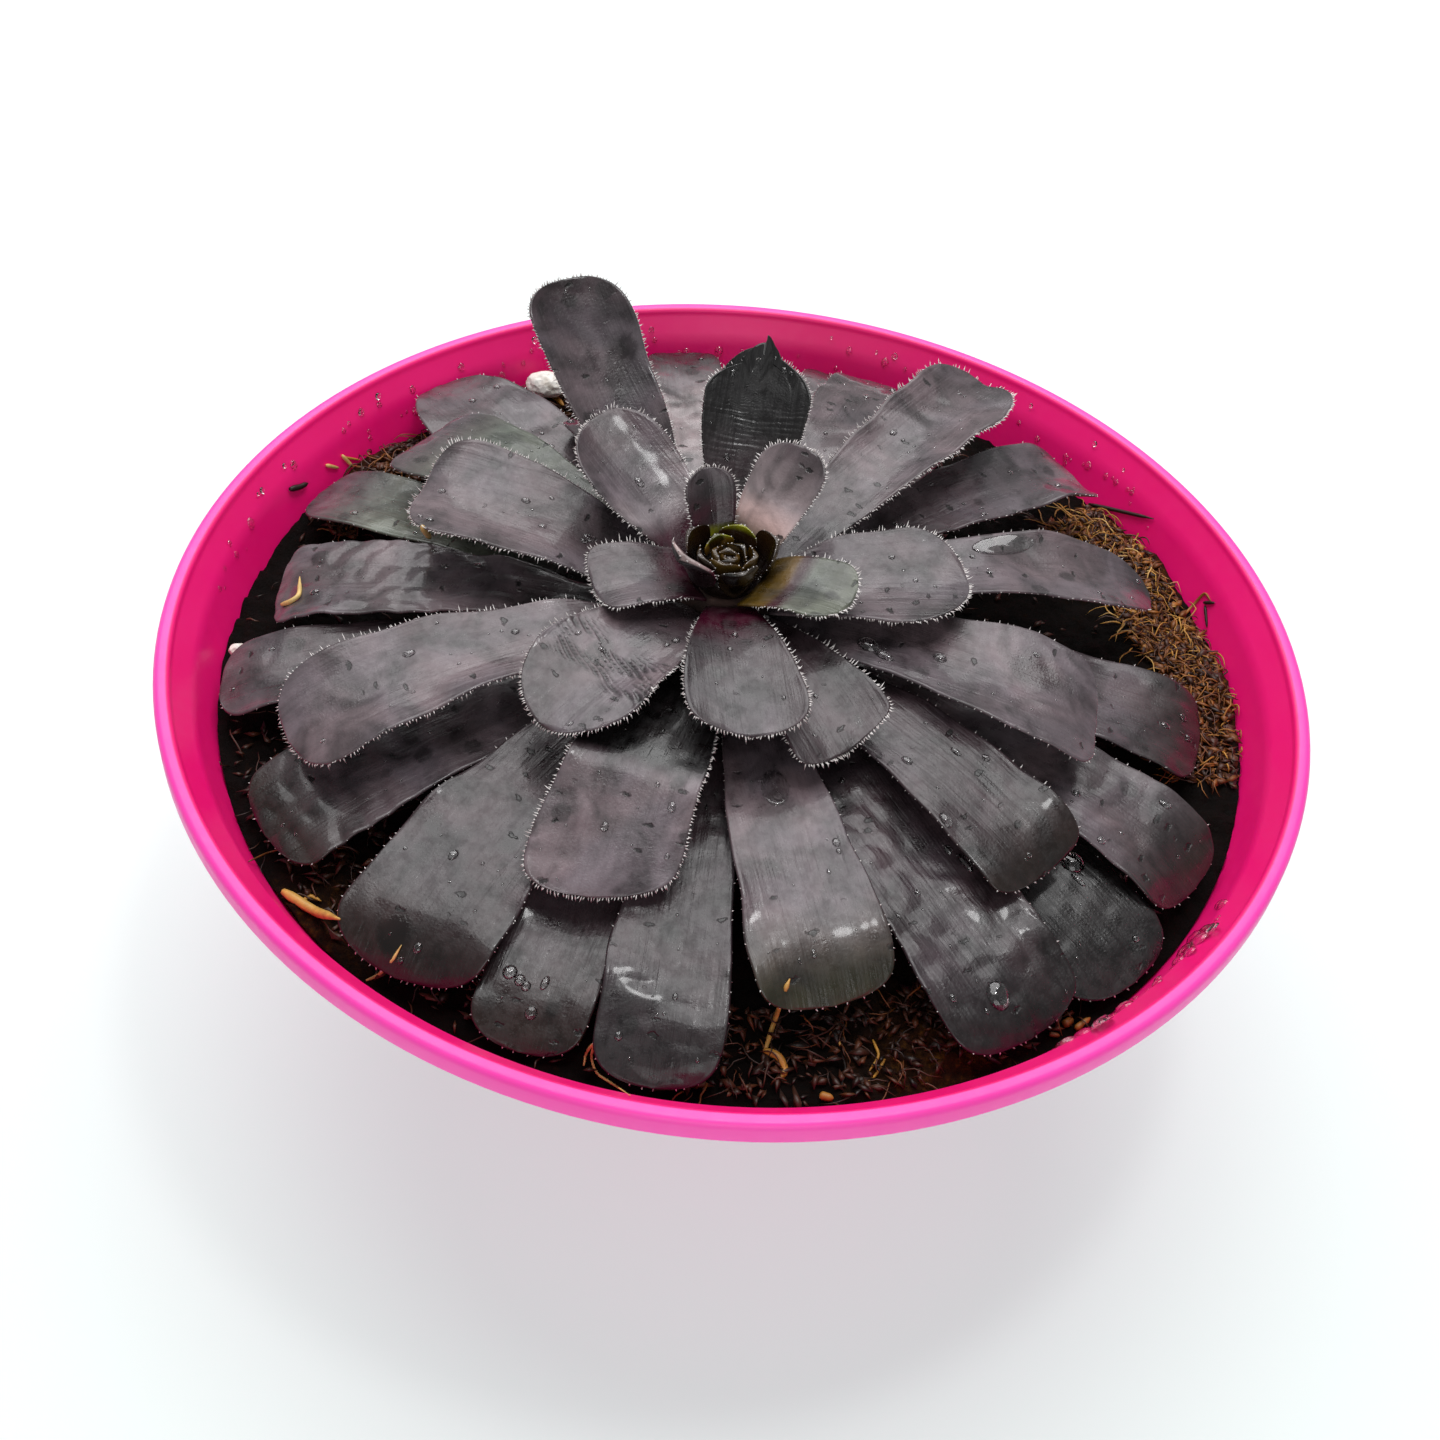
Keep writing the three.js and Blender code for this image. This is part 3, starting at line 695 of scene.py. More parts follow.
# Leaves, ring by ring from the lowest. Columns: azimuth, root height over the rim, length, width, pitch
# at the root and at the tip, cup, curl, veer, slant, tones of root, blade and tip, crumple in mm, hairs
# from 0 to 1
COLUMNS = "az z0 long wide rise droop cup curl veer slant tones crumple hairs".split()
# The dark char and umber at roots and tips where leaves lie in shadow or bend into it are painted shade, and
# the pale far leaves are painted sheen
OUTER = [
    (286, 2.6, 54, 17, 8, -15, 1, -30, 6, 0, "smoke ash moss", 0.05, 0.25),
    (269, 0.3, 63, 15, 6, -14, 1, -25, 0, 0, "smoke smoke char", 0.12, 0.2),
    (254, -2, 61, 14, 4, -12, 1, -20, 5, 0, "char smoke umber", 0.08, 0.2),
    (237, 0.3, 61, 20, 6, -13, 1, -30, 14, 0, "smoke smoke umber", 0.06, 0.35),
    (214, -2, 59, 18, 6, -14, 1, -15, 8, 0, "smoke slate umber", 0.2, 0.2),
    (193, -2, 60, 14, 5, -13, 1, -10, 0, 0, "char smoke slate", 0.1, 0.2),
    (177, 0.3, 55, 16, 8, -16, 1, -20, 4, 0, "slate ash ash", 0.25, 0.2),
    (156, -2.6, 60, 13, 5, -12, 1, -10, 4, 0, "smoke sage slate", 0.05, 0.2),
    (145, 0.7, 50, 18, 18, -16, 1, -10, 4, 0, "ash sage slate", 0.08, 0.3),
    (133, -2, 64, 20, 4, -6, 1, -10, 0, 0, "ash ash slate", 0.12, 0.3),
    (118, 0.3, 41, 13, 18, -15, 1, -15, 0, 0, "smoke smoke smoke", 0.1, 0.3),
    (100, -2, 63, 12, 3, -7, 1, -10, 0, 0, "ash pale char", 0.1, 0.3),
    (76, 0.3, 64, 15, 8, -17, 1, -15, 2, 0, "pale pale char", 0.1, 0.3),
    (71, 2.6, 57, 14, 15, -19, 1, -10, 0, 0, "pale ash smoke", 0.15, 0.4),
    (64, -2, 52, 14, 5, -14, 1, -10, 0, 0, "smoke ash smoke", 0.1, 0.2),
    (43, 0.3, 62, 15, 13, -17, 1.5, -10, -4, 0, "slate slate ash", 0.22, 0.35),
    (20, 2.6, 58, 14, 17, -26, 1.5, -10, -10, 0, "ash ash slate", 0.05, 0.35),
    (360, -2, 61, 17, 5, -14, 1, -20, -12, 0, "ash slate umber", 0.2, 0.2),
    (338, 0.3, 65, 16, 6, -15, 1, -25, -12, 0, "smoke ash umber", 0.15, 0.2),
    (323, -2, 65, 18, 3, -13, 1, -10, -8, 0, "char char char", 0.1, 0.2),
    (306, 0.3, 64, 19, 4, -13, 1, -25, 3, 0, "char smoke char", 0.2, 0.25),
]
MIDDLE = [
    (207, 3.6, 53, 17, 14, -20, 1.5, -15, 8, 0, "ash ash ash", 0.05, 0.8),
    (165, 5, 38, 20, 20, -8, 2.5, -10, 0, -0.05, "slate ash ash", 0.04, 1),
    (127, 5, 46, 15, 24, 38, 2.5, 0, 0, 0, "ash slate smoke", 0.06, 1),
    (87, 5, 34, 15, 36, 38, 2.5, 10, 0, 0, "ash smoke char", 0.05, 1),
    (53, 5, 57, 15, 16, -9, 2.5, -5, 8, 0, "slate ash slate", 0.06, 1),
    (343, 5.6, 46, 18, 13, -13, 1.5, -20, 4, -0.04, "slate ash ash", 0.06, 0.35),
    (321, 4, 50, 16, 6, -10, 1, -25, -6, 0, "char smoke umber", 0.06, 0.3),
    (257, 4.6, 45, 18, 10, 4, 1, 0, 0, -0.05, "smoke smoke ash", 0.04, 1),
    (236, 7.3, 31, 17, 24, -16, 2, 0, 0, 0.04, "smoke ash slate", 0.05, 1),
    (3, 7.5, 27, 19, 20, -2, 2, 0, 2, 0, "ash slate slate", 0.04, 1),
    (305, 7.1, 26, 15, 13, -13, 2, 0, -4, -0.08, "smoke smoke smoke", 0.12, 1),
]
INNER = [
    (279, 8.7, 26, 15, 22, -10, 2, 0, 4, 0.03, "berry slate ash", 0.04, 1),
    (337, 10.2, 14, 12, 33, 0, 1.5, 0, 0, 0, "ochre sage slate", 0.03, 1),
    (204, 10.2, 14, 12, 30, -14, 1.5, 0, 0, 0, "wine slate slate", 0.04, 1),
    (140, 8.7, 25, 15, 28, 22, 2.5, 0, 0, -0.08, "wine pale smoke", 0.05, 1),
    (59, 10.2, 17, 10, 43, 38, 2, 0, 0, 0, "gold blush slate", 0.03, 1),
    (116, 11.4, 11, 7, 62, 60, 1.5, 0, 4, 0, "lime wine ash", 0.03, 1),
    (227, 12.4, 7, 7, 68, 50, 1, 0, 0, 0, "berry ash ash", 0.03, 0.3),
]
# Outlines of each ring's leaves: the width's share at the root, where it is greatest, how square the end is
OUTLINES = {
    "outer": dict(neck=0.2, widest=0.88, blunt=4),
    "middle": dict(neck=0.3, widest=0.82, blunt=3.5),
    "inner": dict(neck=0.6, widest=0.72, blunt=2.5),
    "young": dict(neck=0.55, widest=0.74, blunt=2.8),
}


def read_leaf(name, row, seed, ring):
    """A leaf as named values. seed makes its relief its own."""
    leaf = dict(zip(COLUMNS, row), name=name, seed=seed, thick=1.0, **OUTLINES[ring])
    # How far from the stem's axis it starts: the stem narrows to its top
    leaf["r0"] = max(5.2, 9.4 - max(0, leaf["z0"] - 3.5) * 0.72)
    return leaf


def midline(leaf, u):
    """Points, sides and up vectors on the leaf's midline at the shares u of its length."""
    t = np.linspace(0, BEYOND, 241)
    pitch = leaf["rise"] + (leaf["droop"] - leaf["rise"]) * t + leaf["curl"] * smooth(t, BEND_AT, 1)
    if "fold" in leaf:
        place, turn = leaf["fold"]
        pitch = pitch + turn * smooth(t, place - 0.04, place + 0.04)
    pitch = np.radians(pitch)
    a = np.radians(leaf["az"] + leaf["veer"] * t * t)
    way = np.stack([np.cos(pitch) * np.cos(a), np.cos(pitch) * np.sin(a), np.sin(pitch)], -1)
    root = np.append(STAND + leaf["r0"] * np.array([np.cos(a[0]), np.sin(a[0])]), RIM_Z + leaf["z0"])
    steps = (way[1:] + way[:-1]) / 2 * leaf["long"] * t[1]
    path = root + np.vstack([[0, 0, 0], np.cumsum(steps, axis=0)])
    along = unit(between(u, t, way))
    a = np.interp(u, t, a)
    side = np.stack([-np.sin(a), np.cos(a), 0 * a], -1)
    return between(u, t, path), side, np.cross(along, side)


def leaf_end(leaf, u):
    """How much of its width the leaf keeps at u, near its rounded end."""
    tip = np.maximum(0, (u - leaf["widest"]) / (1 - leaf["widest"]))
    return np.maximum(0.03, np.sqrt(np.maximum(0, 1 - tip ** leaf["blunt"])))


def half_width(leaf, u, v):
    """Half the leaf's width at u. Its two margins wave each in their own way."""
    wave = 1 + 0.022 * swell(u * leaf["long"], np.sign(v) * 40, leaf["seed"] + 5, 11)
    grown = 1 - (1 - np.minimum(u / leaf["widest"], 1)) ** FLARE
    return leaf["wide"] / 2 * (leaf["neck"] + (1 - leaf["neck"]) * grown) * leaf_end(leaf, u) * wave


def relief(leaf, u, v, x, y):
    """What lifts or sinks the leaf's surface, in mm: swells of 11 mm, ridges along it 1.7 mm apart, crumples
    of 5.5 mm, a margin that waves every 9 mm, and its own wrinkles."""
    seed = leaf["seed"]
    lift = 0.13 * swell(x, y, seed, 11) + 0.018 * swell(x / 9, y, seed + 1, 1.7)
    lift = lift + leaf["crumple"] * (np.abs(swell(x, y, seed + 2, 5.5)) - 0.6)
    lift = lift + 0.25 * np.abs(v) ** 3 * swell(x, np.sign(v) * 30, seed + 3, 9)
    if "wrinkle" in leaf:
        lift = lift + leaf["wrinkle"](u, v, x, y)
    return lift * smooth(u, 0.03, 0.25)


def leaf_surface(leaf, u, v, face):
    """Points of the leaf at shares u along and v across, on its upper face 1, underside -1 or middle 0."""
    reach = u + leaf["slant"] * v * u**4 * leaf_end(leaf, u)
    if "torn" in leaf:
        reach = reach - leaf["torn"](v) * smooth(u, 0.6, 1)
    at, side, up = midline(leaf, reach)
    half = half_width(leaf, u, v)
    x, y = u * leaf["long"], v * half
    body = (LEAF_T + (BLADE_T - LEAF_T) * smooth(u, 0, 0.5)) * leaf["thick"]
    t = 0.5 * np.maximum(EDGE_T * 0.7 * leaf["thick"], body * np.sqrt(np.maximum(0, 1 - v * v)))
    lift = leaf["cup"] * half / (leaf["wide"] / 2) * v * v + relief(leaf, u, v, x, y) + face * t
    return at + side * y[..., None] + up * lift[..., None]


def tint(leaf, u, top):
    """The leaf's colour at u: its own stops, or its tones of root, blade and tip, and a dark underside,
    partly painted shade.
    """
    stops = leaf.get("stops")
    if not stops:
        root, blade, end = leaf["tones"].split()
        stops = {0: root, 0.22: root, 0.42: blade, 0.76: blade, 0.95: end}
    over = between(u, list(stops), [linear(TONES[tone]) for tone in stops.values()])
    return np.where(top[..., None], over, np.array(linear(leaf.get("under", UNDERSIDE_TONE_AND_SHADE))))


def across_shares(count):
    """Shares from -1 to 1 across a leaf, closer together by its margins."""
    c = np.linspace(-1, 1, count)
    return c * (1.25 - 0.25 * c * c)


def leaf_mesh(leaf, step):
    """The leaf as a closed mesh with its place and colour marks."""
    rows = max(14, int(leaf["long"] / step))
    u = 1 - (1 - np.linspace(0, 1, rows)) ** 1.35  # closer together by the tip
    wide = max(8, int(leaf["wide"] / step / 1.1))
    over, under = across_shares(wide), -across_shares(max(6, wide // 2))
    v = np.concatenate([over, [1.0], under, [-1.0]])
    face = np.concatenate([np.ones(len(over)), [0], -np.ones(len(under)), [0]])
    ru, rv = np.meshgrid(u, v, indexing="ij")
    points = leaf_surface(leaf, ru, rv, face[None, :])
    # the margin's rounded edge stands out a little between the two faces
    side = midline(leaf, u)[1]
    points[:, face == 0] += side[:, None] * 0.22 * leaf["thick"] * v[face == 0][None, :, None]
    x, y = ru * leaf["long"], rv * half_width(leaf, ru, rv)
    place = np.stack([x, y, np.full_like(ru, leaf["seed"] * 7.3)], -1)
    colour = tint(leaf, ru, np.broadcast_to(face[None, :] > -0.5, ru.shape))
    if "wrinkle" in leaf:  # painted shade: darker down in the wrinkles
        sunk = np.clip(-leaf["wrinkle"](ru, rv, x, y) / 0.1, 0, 1)
        colour = colour * (1 - 0.75 * sunk[..., None] * [1, 1, 1, 0])
    count = len(v)
    last = (rows - 1) * count
    faces = [f[::-1] for f in ring_faces(rows, count)]
    faces += [list(range(count)), [last + k for k in range(count)][::-1]]
    return points.reshape(-1, 3), faces, place.reshape(-1, 3), colour.reshape(-1, 4)


def margin(leaf):
    """The leaf's margin, up one side and down the other: points, up vectors and shares of its length."""
    u = 1 - (1 - np.linspace(0.06, 1, 200)) ** 2
    one, back = np.ones_like(u), u[::-1]
    edge = np.concatenate([leaf_surface(leaf, u, one, 0), leaf_surface(leaf, back, -one, 0)])
    ups = np.concatenate([midline(leaf, u)[2], midline(leaf, back)[2]])
    return edge, ups, np.concatenate([u, back])[:, None]


# A hair has three corners sunk in the margin, three half way up, and its point
HAIR_FACES = [[2, 1, 0], [0, 1, 4, 3], [3, 4, 6], [1, 2, 5, 4], [4, 5, 6], [2, 0, 3, 5], [5, 3, 6]]


def hair_spikes(leaf, rng):
    """The leaf's margin hairs as fine three-sided spikes that stand out, leaning a bit to the leaf's tip."""
    edge, ups, share = margin(leaf)
    walked = np.concatenate([[0], np.cumsum(np.linalg.norm(np.diff(edge, axis=0), axis=1))])
    gap = HAIR_GAP / leaf["hairs"]
    spots = np.arange(0.5, walked[-1] - 0.5, gap)
    spots = spots + rng.uniform(-0.35, 0.35, len(spots)) * gap
    base, up, at = (between(spots, walked, rows) for rows in (edge, ups, share))
    ahead = unit(between(spots + 0.4, walked, edge) - base)
    out = unit(np.cross(up, ahead))
    toward_tip = np.where(spots[:, None] < walked[-1] / 2, ahead, -ahead)
    n = len(spots)
    lean = rng.uniform(-0.1, 0.5, (n, 1))
    lift = rng.uniform(-0.6, 0.7, (n, 1))
    way = unit(out + lean * toward_tip + lift * up)
    size = rng.uniform(*HAIR_LONG, (n, 1)) * smooth(at, 0.02, 0.3) * leaf.get("hair_long", 1.0)
    size = size * (0.35 + 0.65 * leaf["hairs"])
    bend = rng.uniform(-0.5, 0.6, (n, 1)) * size
    wall = unit(np.cross(way, up))
    other = np.cross(way, wall)
    parts = []
    for along, radius in ((-0.12, 0.12), (0.5, 0.1)):  # shares of its length, and its radius there
        spine = base + way * size * along + up * bend * max(along, 0) ** 2 * 2
        for k in range(3):
            a = 2 * math.pi * k / 3
            parts.append(spine + (wall * math.cos(a) + other * math.sin(a)) * radius)
    parts.append(base + way * size + up * bend * 2)
    faces = [[k * len(parts) + corner for corner in face] for k in range(n) for face in HAIR_FACES]
    return np.stack(parts, 1).reshape(-1, 3), faces


def across_ridges(start, end, pitch, height, tilt, low=-1.0, high=1.0):
    """Wrinkles that run across the leaf, pitch mm apart, between two shares of its length and two of its
    width."""
    def lift(u, v, x, y):
        phase = (x + tilt * y + 0.12 * np.sin(y * 0.8 + x) + 0.2 * np.sin(x * 1.3)) / pitch
        window = smooth(u, start, start + 0.1) * (1 - smooth(u, end - 0.12, end))
        window = window * smooth(v, low - 0.25, low + 0.25) * (1 - smooth(v, high - 0.25, high + 0.25))
        window = window * np.clip(0.7 + 0.8 * swell(x * 2, y / 2, 71, 3), 0, 1.6)
        return height * window * (np.sin(2 * np.pi * phase) - 0.35 * np.cos(4 * np.pi * phase))
    return lift


def torn_top(v):
    """How far the leaf is torn off at v across it: a ragged edge with one peak left standing."""
    ragged = 0.08 + 0.03 * np.sin(7 * v + 0.6) + 0.02 * np.sin(19 * v + 2)
    return ragged * (1 - 0.9 * np.exp(-((v + 0.28) / 0.24) ** 2))


# What single leaves have of their own. stops are tones at shares of the length, and fold is where the leaf
# is folded across and by how many degrees
HABITS = {
    "leaf_outer_04": dict(blunt=2.5),
    "leaf_outer_10": dict(widest=0.7, blunt=2.5),
    "leaf_outer_17": dict(widest=0.7, blunt=2),
    "leaf_middle_04": dict(
        widest=0.75, blunt=2, torn=torn_top, wrinkle=across_ridges(0.35, 0.75, 0.8, 0.05, 0.0),
        stops={0: "ash", 0.4: "smoke", 0.58: "char", 0.72: "soot", 1: "soot"}),
    "leaf_middle_05": dict(blunt=2.5),
    "leaf_middle_06": dict(blunt=5),
    "leaf_middle_07": dict(widest=0.9, blunt=5),
    # Painted shade and light: near black above the fold and a lighter grey on the panel beyond it, for how
    # light falls on the two sides of the fold
    "leaf_middle_08": dict(
        neck=0.5, blunt=5, fold=(0.62, -30),
        stops={0: "char", 0.58: "char", 0.6: "smoke", 0.63: "painted_sheen", 0.95: "painted_sheen", 0.99: "ash"}),
    "leaf_middle_09": dict(
        widest=0.68, blunt=2, wrinkle=across_ridges(0.44, 0.76, 0.85, 0.2, -0.36, -0.9, 1.2)),
    "leaf_middle_10": dict(neck=0.5, widest=0.65, blunt=2),
    "leaf_middle_11": dict(widest=0.9),
    "leaf_inner_01": dict(
        neck=0.4, widest=0.8, blunt=3.5,
        stops={0: "wine", 0.28: "wine", 0.4: "smoke", 0.6: "smoke", 0.95: "slate"}),
    "leaf_inner_02": dict(
        neck=0.9, blunt=2,
        stops={0: "gold", 0.28: "gold", 0.36: "wine", 0.42: "wine", 0.5: "sage", 0.95: "sage"}),
    "leaf_inner_03": dict(
        neck=0.8, widest=0.8, blunt=3.5, stops={0: "wine", 0.3: "wine", 0.5: "slate", 0.95: "slate"}),
    "leaf_inner_04": dict(
        neck=0.3, widest=0.65, stops={0: "wine", 0.22: "wine", 0.36: "pale", 0.55: "ash", 0.95: "smoke"}),
    "leaf_inner_05": dict(stops={0: "lime", 0.14: "gold", 0.3: "blush", 0.5: "pale", 0.95: "slate"}),
    "leaf_inner_06": dict(
        stops={0: "lime", 0.2: "lime", 0.3: "wine", 0.5: "wine", 0.7: "smoke", 0.98: "ash"}),
    "leaf_inner_07": dict(stops={0: "wine", 0.3: "wine", 0.7: "berry", 0.98: "blush"}),
}


def make_leaves():
    """Makes the hairs of all leaves, and gives the leaves with their surfaces. The blades are made last,
    when it is known where they are wet."""
    leaves, surfaces = [], []
    for ring, rows in (("outer", OUTER), ("middle", MIDDLE), ("inner", INNER)):
        rng = np.random.RandomState(len(rows))
        spikes = []
        for k, row in enumerate(rows):
            name = f"leaf_{ring}_{k + 1:02d}"
            leaf = read_leaf(name, row, len(leaves) + 3, ring)
            leaf.update(HABITS.get(name, {}))
            surfaces.append(leaf_mesh(leaf, FINE_STEP if "wrinkle" in leaf else MESH_STEP))
            spikes.append(hair_spikes(leaf, rng))
            leaves.append(leaf)
        points, faces, _ = joined(spikes)
        make_piece(f"leaf_hairs_{ring}", points, faces, HAIR, "leaf")
    return leaves, surfaces


# ---------------------------------------------------------------- growing tip

YOUNG_LEAVES = 13
TURN = 137.5  # degrees from one young leaf to the next, as in any rosette


def make_crown():
    """The growing tip: a spiral of small leaves round a bud, the inner ones younger, grown as one piece."""
    parts, spikes = [], []
    rng = np.random.RandomState(5)
    for k in range(YOUNG_LEAVES):
        inward = k / (YOUNG_LEAVES - 1)
        azimuth = 20 + TURN * k
        row = (azimuth, 9.2 + 2.2 * inward, 7.4 - 4.6 * inward, 6.2 - 3.4 * inward, 52 + 14 * inward,
               76 + 34 * inward, 1.4 - 0.6 * inward, 0, 0, 0, "", 0.02, 0.35)
        leaf = read_leaf(f"young_{k}", row, 60 + k, "young")
        at_back = math.sin(math.radians(azimuth)) > 0.6 and k < 7
        leaf.update(
            r0=3.6 - 3.0 * inward, thick=0.5, hair_long=0.4, under="#33240f" if k < 5 else "#5a4218",
            stops={0: "umber", 0.5: "umber", 0.85: "cocoa" if k < 5 else "ochre",
                   1: "lime" if at_back else "cocoa"})
        parts.append(leaf_mesh(leaf, FINE_STEP))
        spikes.append(hair_spikes(leaf, rng))
    core, core_faces = turned([
        (0, CROWN_Z), (BUD_R, CROWN_Z), *arc(0, CROWN_Z + 0.6, BUD_R, 0, 80, 7), (0, CROWN_Z + 4.6)], 32)
    core = core * [1, 1, 0.9] + [*STAND, CROWN_Z * 0.1]  # the bud is a tenth lower than a ball
    parts.append((core, core_faces, core, np.tile(linear(TONES["umber"]), (len(core), 1))))
    points, faces, (place, colour) = joined(parts)
    points[:, 2] = np.maximum(points[:, 2], CROWN_Z)
    make_piece("growing_tip", points, faces, SKIN, "bud", ["crown"], leaf_place=place, leaf_tint=colour,
               leaf_wet=np.full(len(points), 0.6))
    points, faces, _ = joined(spikes)
    make_piece("growing_tip_hairs", points, faces, HAIR, "leaf")


# ---------------------------------------------------------------- water and litter

# Wet places on the leaves: photo pixel x, y, half length along the leaf and half width, in mm
WET_SPOTS = [
    (654, 754, 2.2, 2.0), (1034, 672, 4.2, 2.6), (436, 823, 1.6, 1.0), (421, 849, 1.0, 0.8),
    (509, 841, 2.2, 1.2), (396, 936, 2.6, 2.0), (775, 866, 1.6, 1.0), (858, 720, 1.0, 0.8),
    (990, 783, 2.4, 1.8), (592, 358, 1.4, 1.0), (626, 348, 2.0, 1.4), (600, 650, 2.6, 1.6),
    (640, 640, 2.0, 1.2),
]
# Water films and drops: photo pixel x, y, half length, half width and height in mm
FILMS = [(1003, 545, 5.2, 1.8, 0.22), (775, 788, 3.0, 1.8, 0.2)]
DROPS = [
    (510, 972, 1.0, 0.9, 0.5), (520, 980, 0.8, 0.7, 0.45), (526, 986, 0.7, 0.6, 0.4),
    (545, 983, 1.0, 0.5, 0.4), (531, 1013, 0.9, 0.8, 0.5), (1072, 862, 1.8, 1.6, 0.9),
    (1078, 880, 1.2, 0.4, 0.4), (998, 996, 1.9, 1.5, 0.8), (946, 820, 1.2, 0.8, 0.5),
    (965, 862, 1.6, 0.6, 0.5), (868, 645, 1.6, 1.2, 0.8), (884, 656, 1.6, 0.7, 0.6),
    (940, 658, 1.0, 0.8, 0.5), (956, 752, 0.9, 0.4, 0.4), (735, 635, 0.7, 0.5, 0.4),
    (590, 538, 1.1, 0.7, 0.35), (775, 552, 0.5, 0.4, 0.3), (739, 576, 0.6, 0.5, 0.35),
    (743, 587, 0.5, 0.4, 0.3), (724, 590, 0.5, 0.4, 0.3),
]
LEAF_PER_DROP = 60  # mm^2 of leaf to each small drop
# Droplets on the inside of the pot's wall, most by the front right and along the back: azimuth and half
# spread in degrees, number, and how much larger than the smallest they get, in mm
WALL_DROPS = [(-42, 14, 40, 1.3), (90, 60, 60, 0.6), (150, 30, 20, 0.6)]
SUNK = 0.12  # how far a drop reaches into what it lies on


def lens(at, normal, along, long, wide, high, rings, sides, seat=None):
    """A drop or film of water: a low dome seated on the surface under it, as seat finds it."""
    along = unit(along - normal * np.dot(along, normal))
    side = np.cross(normal, along)
    flat = 4 if high < 0.3 * wide else 1.3  # films have a flat top and drops are round
    points = [at + normal * high]
    for i in range(1, rings + 1):
        share = math.sin(math.pi / 2 * i / rings)
        height = high * (1 - share ** (2 * flat)) ** (1 / flat)
        for k in range(sides):
            a = 2 * math.pi * k / sides
            p = at + along * long * share * math.cos(a) + side * wide * share * math.sin(a)
            points.append((seat(p, normal) if seat else p) + normal * height)
    for k in range(sides):
        points.append(points[-sides] - normal * SUNK)
    points.append(at - normal * SUNK)
    faces = [[0, 1 + k, 1 + (k + 1) % sides] for k in range(sides)]
    faces += [[a, d, c, b] for a, b, c, d in ring_faces(rings + 1, sides, 1)]
    last = 1 + rings * sides
    faces += [[len(points) - 1, last + (k + 1) % sides, last + k] for k in range(sides)]
    return np.array(points), faces


def leaf_normal(leaf, u, v):
    """A point of the leaf's upper face, the way along the leaf there, and the face's normal."""
    here, ahead, aside = (
        leaf_surface(leaf, np.array(a), np.array(b), 1) for a, b in ((u, v), (u + 0.01, v), (u, v + 0.05)))
    return here, unit(ahead - here), unit(np.cross(ahead - here, aside - here))


def make_water(leaves, tree):
    rng = np.random.RandomState(23)

    def seat(p, normal):
        hit = tree.ray_cast(Vector(p + normal * 2.5), Vector(-normal), 5)
        return np.array(hit[0]) if hit[0] else p

    parts = []
    for px, py, long, wide, high in FILMS + DROPS:
        found = look(tree, px, py)
        if found:
            at, normal, _ = found
            parts.append(lens(at, normal, at * [1, 1, 0], long, wide, high, 6, 24, seat))
    for leaf in leaves:
        for _ in range(int(leaf["long"] * leaf["wide"] / LEAF_PER_DROP)):
            u, v = rng.uniform(0.3, 0.97), rng.uniform(-0.85, 0.85)
            size = 0.16 + 0.5 * rng.uniform() ** 3
            at, along, normal = leaf_normal(leaf, u, v)
            parts.append(lens(at, normal, along, size * rng.uniform(1, 1.6), size, size * 0.55, 3, 9))
    for azimuth, spread, count, growth in WALL_DROPS:
        for _ in range(count):
            a = math.radians(azimuth + rng.uniform(-spread, spread))
            z = RIM_Z - rng.uniform(1.6, 7)
            size = 0.25 + growth * rng.uniform() ** 2
            out = np.array([math.cos(a), math.sin(a), 0])
            at, normal = out * inner_r(z) + UP * z, unit(-out + 0.35 * UP)
            parts.append(lens(at, normal, UP, size * 1.2, size, size * 0.5, 3, 10))
    points, faces, _ = joined(parts)
    make_piece("water_drops", points, faces, WATER, "leaf")


def wet_shares(surfaces):
    """How wet each leaf is at its points: 1 in the wet places that the photograph shows, 0 when dry."""
    trees = [BVHTree.FromPolygons(points.tolist(), faces) for points, faces, *_ in surfaces]
    shares = [np.zeros(len(points)) for points, *_ in surfaces]
    for px, py, long, wide in WET_SPOTS:
        seen = [(found[2], k, found[0]) for k, tree in enumerate(trees) if (found := look(tree, px, py))]
        if seen:
            _, nearest, hit = min(seen)
            points, _, place, _ = surfaces[nearest]
            middle = place[np.argmin(np.linalg.norm(points - hit, axis=1))]
            d = np.hypot((place[:, 0] - middle[0]) / long, (place[:, 1] - middle[1]) / wide)
            shares[nearest] = np.maximum(shares[nearest], 1 - smooth(d, 0.75, 1.1))
    return shares


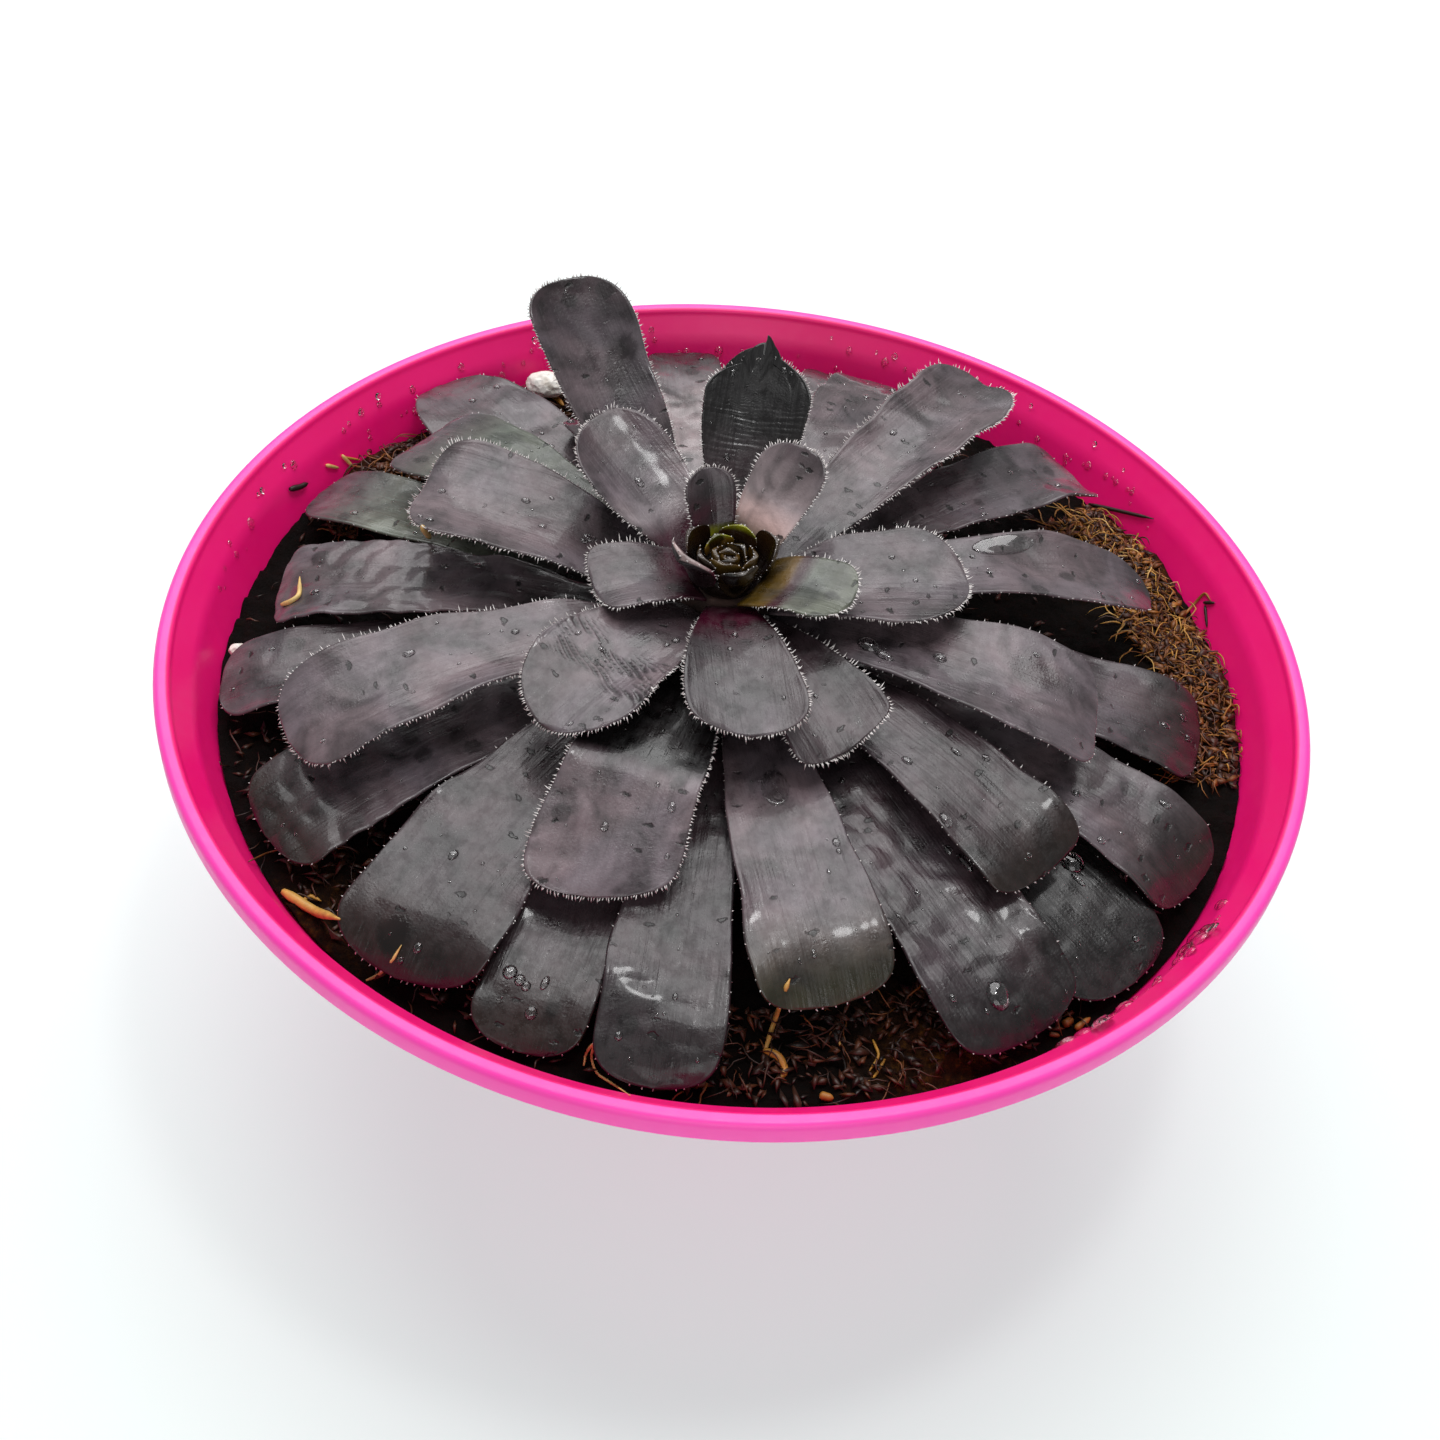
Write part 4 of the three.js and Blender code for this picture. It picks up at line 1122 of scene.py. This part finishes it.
# Roots, straws and splinters: their route in photo pixels, radius in mm, tone
LITTER = [
    ([(583, 1066), (586, 1052), (596, 1041), (590, 1056), (596, 1074), (612, 1084), (630, 1097)], 0.2, 0.95),
    ([(766, 1052), (776, 1020), (784, 990), (789, 979)], 0.35, 0.85),
    ([(766, 1052), (779, 1058), (785, 1073), (776, 1082)], 0.55, 0.72),
    ([(366, 981), (378, 976), (392, 962), (402, 945)], 0.22, 0.95),
    ([(283, 893), (300, 906), (318, 916), (340, 920)], 0.7, 0.85),
    ([(300, 905), (310, 896), (322, 902)], 0.3, 0.8),
    ([(248, 862), (270, 852), (300, 846), (350, 850)], 0.13, 0.4),
    ([(424, 527), (431, 541)], 0.5, 0.95),
    ([(283, 606), (293, 603), (301, 596), (301, 578)], 0.4, 1.0),
    ([(325, 465), (338, 468)], 0.3, 0.95), ([(341, 455), (353, 468)], 0.3, 0.95),
    ([(342, 457), (360, 460)], 0.2, 0.8), ([(288, 489), (298, 487), (306, 483)], 0.5, 0.02),
    ([(545, 391), (556, 400), (563, 408)], 0.5, 0.7),
    ([(1180, 620), (1195, 604), (1206, 592), (1212, 602)], 0.22, 0.6),
    ([(1196, 640), (1212, 652), (1218, 668), (1216, 690)], 0.25, 0.55),
    ([(1172, 622), (1190, 640), (1204, 662), (1214, 680)], 0.3, 0.5),
    ([(1205, 603), (1216, 603)], 0.3, 0.05), ([(1206, 606), (1208, 628)], 0.25, 0.05),
    ([(1090, 504), (1125, 512), (1155, 519)], 0.35, 0.05),
    ([(840, 1046), (836, 1032), (842, 1022)], 0.2, 0.85), ([(872, 1040), (880, 1056), (868, 1072)], 0.2, 0.8),
    ([(885, 1060), (876, 1076), (866, 1084)], 0.2, 0.75), ([(820, 1097), (833, 1099)], 0.55, 0.65),
    ([(1062, 1026), (1074, 1022)], 0.6, 0.5), ([(1076, 1030), (1090, 1020)], 0.45, 0.6),
    ([(1048, 1034), (1060, 1037)], 0.35, 0.45),
]


def make_litter(tree):
    """Roots, straws and splinters where the photograph shows them, lying on what is under them."""
    parts = []
    for route, radius, tone in LITTER:
        found = [look(tree, px, py) for px, py in route]
        spots = np.array([at + normal * radius * 0.8 for at, normal, _ in filter(None, found)])
        if len(spots) < 2:
            continue
        t = np.linspace(0, len(spots) - 1, 4 * len(spots))
        line = between(t, np.arange(len(spots)), spots)
        for _ in range(2):
            line[1:-1] = (line[:-2] + 2 * line[1:-1] + line[2:]) / 4
        points, faces = strand(line, radius, 6)
        parts.append((points, faces, np.full(len(points), tone)))
    points, faces, (tones,) = joined(parts)
    make_piece("litter", points, faces, COIR, "peat", fibre_tone=tones)


# ---------------------------------------------------------------- studio

# Lamps: name, place and diameter in metres, watts. The key stands behind the pot, a little to the left, the
# fill in front of it, and the small one over it puts glints in the drops
LAMPS = [
    ("key", (-0.08, 0.42, 0.84), 1.1, 9.4), ("fill", (0.1, -0.8, 0.5), 0.7, 2.1),
    ("glints", (0.12, 0.05, 0.95), 0.12, 1.0),
]
LIT = Vector((0, 0, 0.06))  # where the lamps point
SKY = 0.3  # how bright the white room is
BOARD = 1.6  # half the floor's side in metres


def make_studio():
    grid = bmesh.new()
    bmesh.ops.create_grid(grid, x_segments=8, y_segments=8, size=BOARD)
    mesh = bpy.data.meshes.new("floor")
    grid.to_mesh(mesh)
    grid.free()
    mesh.materials.append(new_finish("floor_board_white", pale_floor))
    floor = put("floor", mesh)
    world = bpy.data.worlds.new("studio")
    world.use_nodes = True
    back = world.node_tree.nodes["Background"]
    back.inputs["Color"].default_value = linear("#ffffff")
    back.inputs["Strength"].default_value = SKY
    bpy.context.scene.world = world
    for name, place, size, watts in LAMPS:
        data = bpy.data.lights.new(name, "AREA")
        data.shape, data.size, data.energy = "DISK", size, watts
        lamp = put(name, data)
        lamp.location = place
        lamp.rotation_euler = (LIT - lamp.location).to_track_quat("-Z", "Y").to_euler()
    bpy.context.scene.view_settings.view_transform = "Standard"


# ---------------------------------------------------------------- the whole

make_camera()
pot = make_pot()
peat_surface = make_peat()
make_coir()
make_stem()
make_stone(1, 1.0)
make_stone(2, 6.0)
leaves, leaf_surfaces = make_leaves()
make_crown()

pot_points = np.array([v.co for v in pot.data.vertices]) / MM
pot_faces = [list(p.vertices) for p in pot.data.polygons]
all_points, all_faces, _ = joined([s[:2] for s in leaf_surfaces] + [peat_surface, (pot_points, pot_faces)])
seen = BVHTree.FromPolygons(all_points.tolist(), all_faces)

for leaf, (points, faces, place, colour), wet in zip(leaves, leaf_surfaces, wet_shares(leaf_surfaces)):
    name = leaf["name"]
    make_piece(f"{name}_blade", points, faces, SKIN, "leaf", [name], leaf_place=place, leaf_tint=colour,
               leaf_wet=wet)

make_water(leaves, seen)
make_litter(seen)
make_studio()
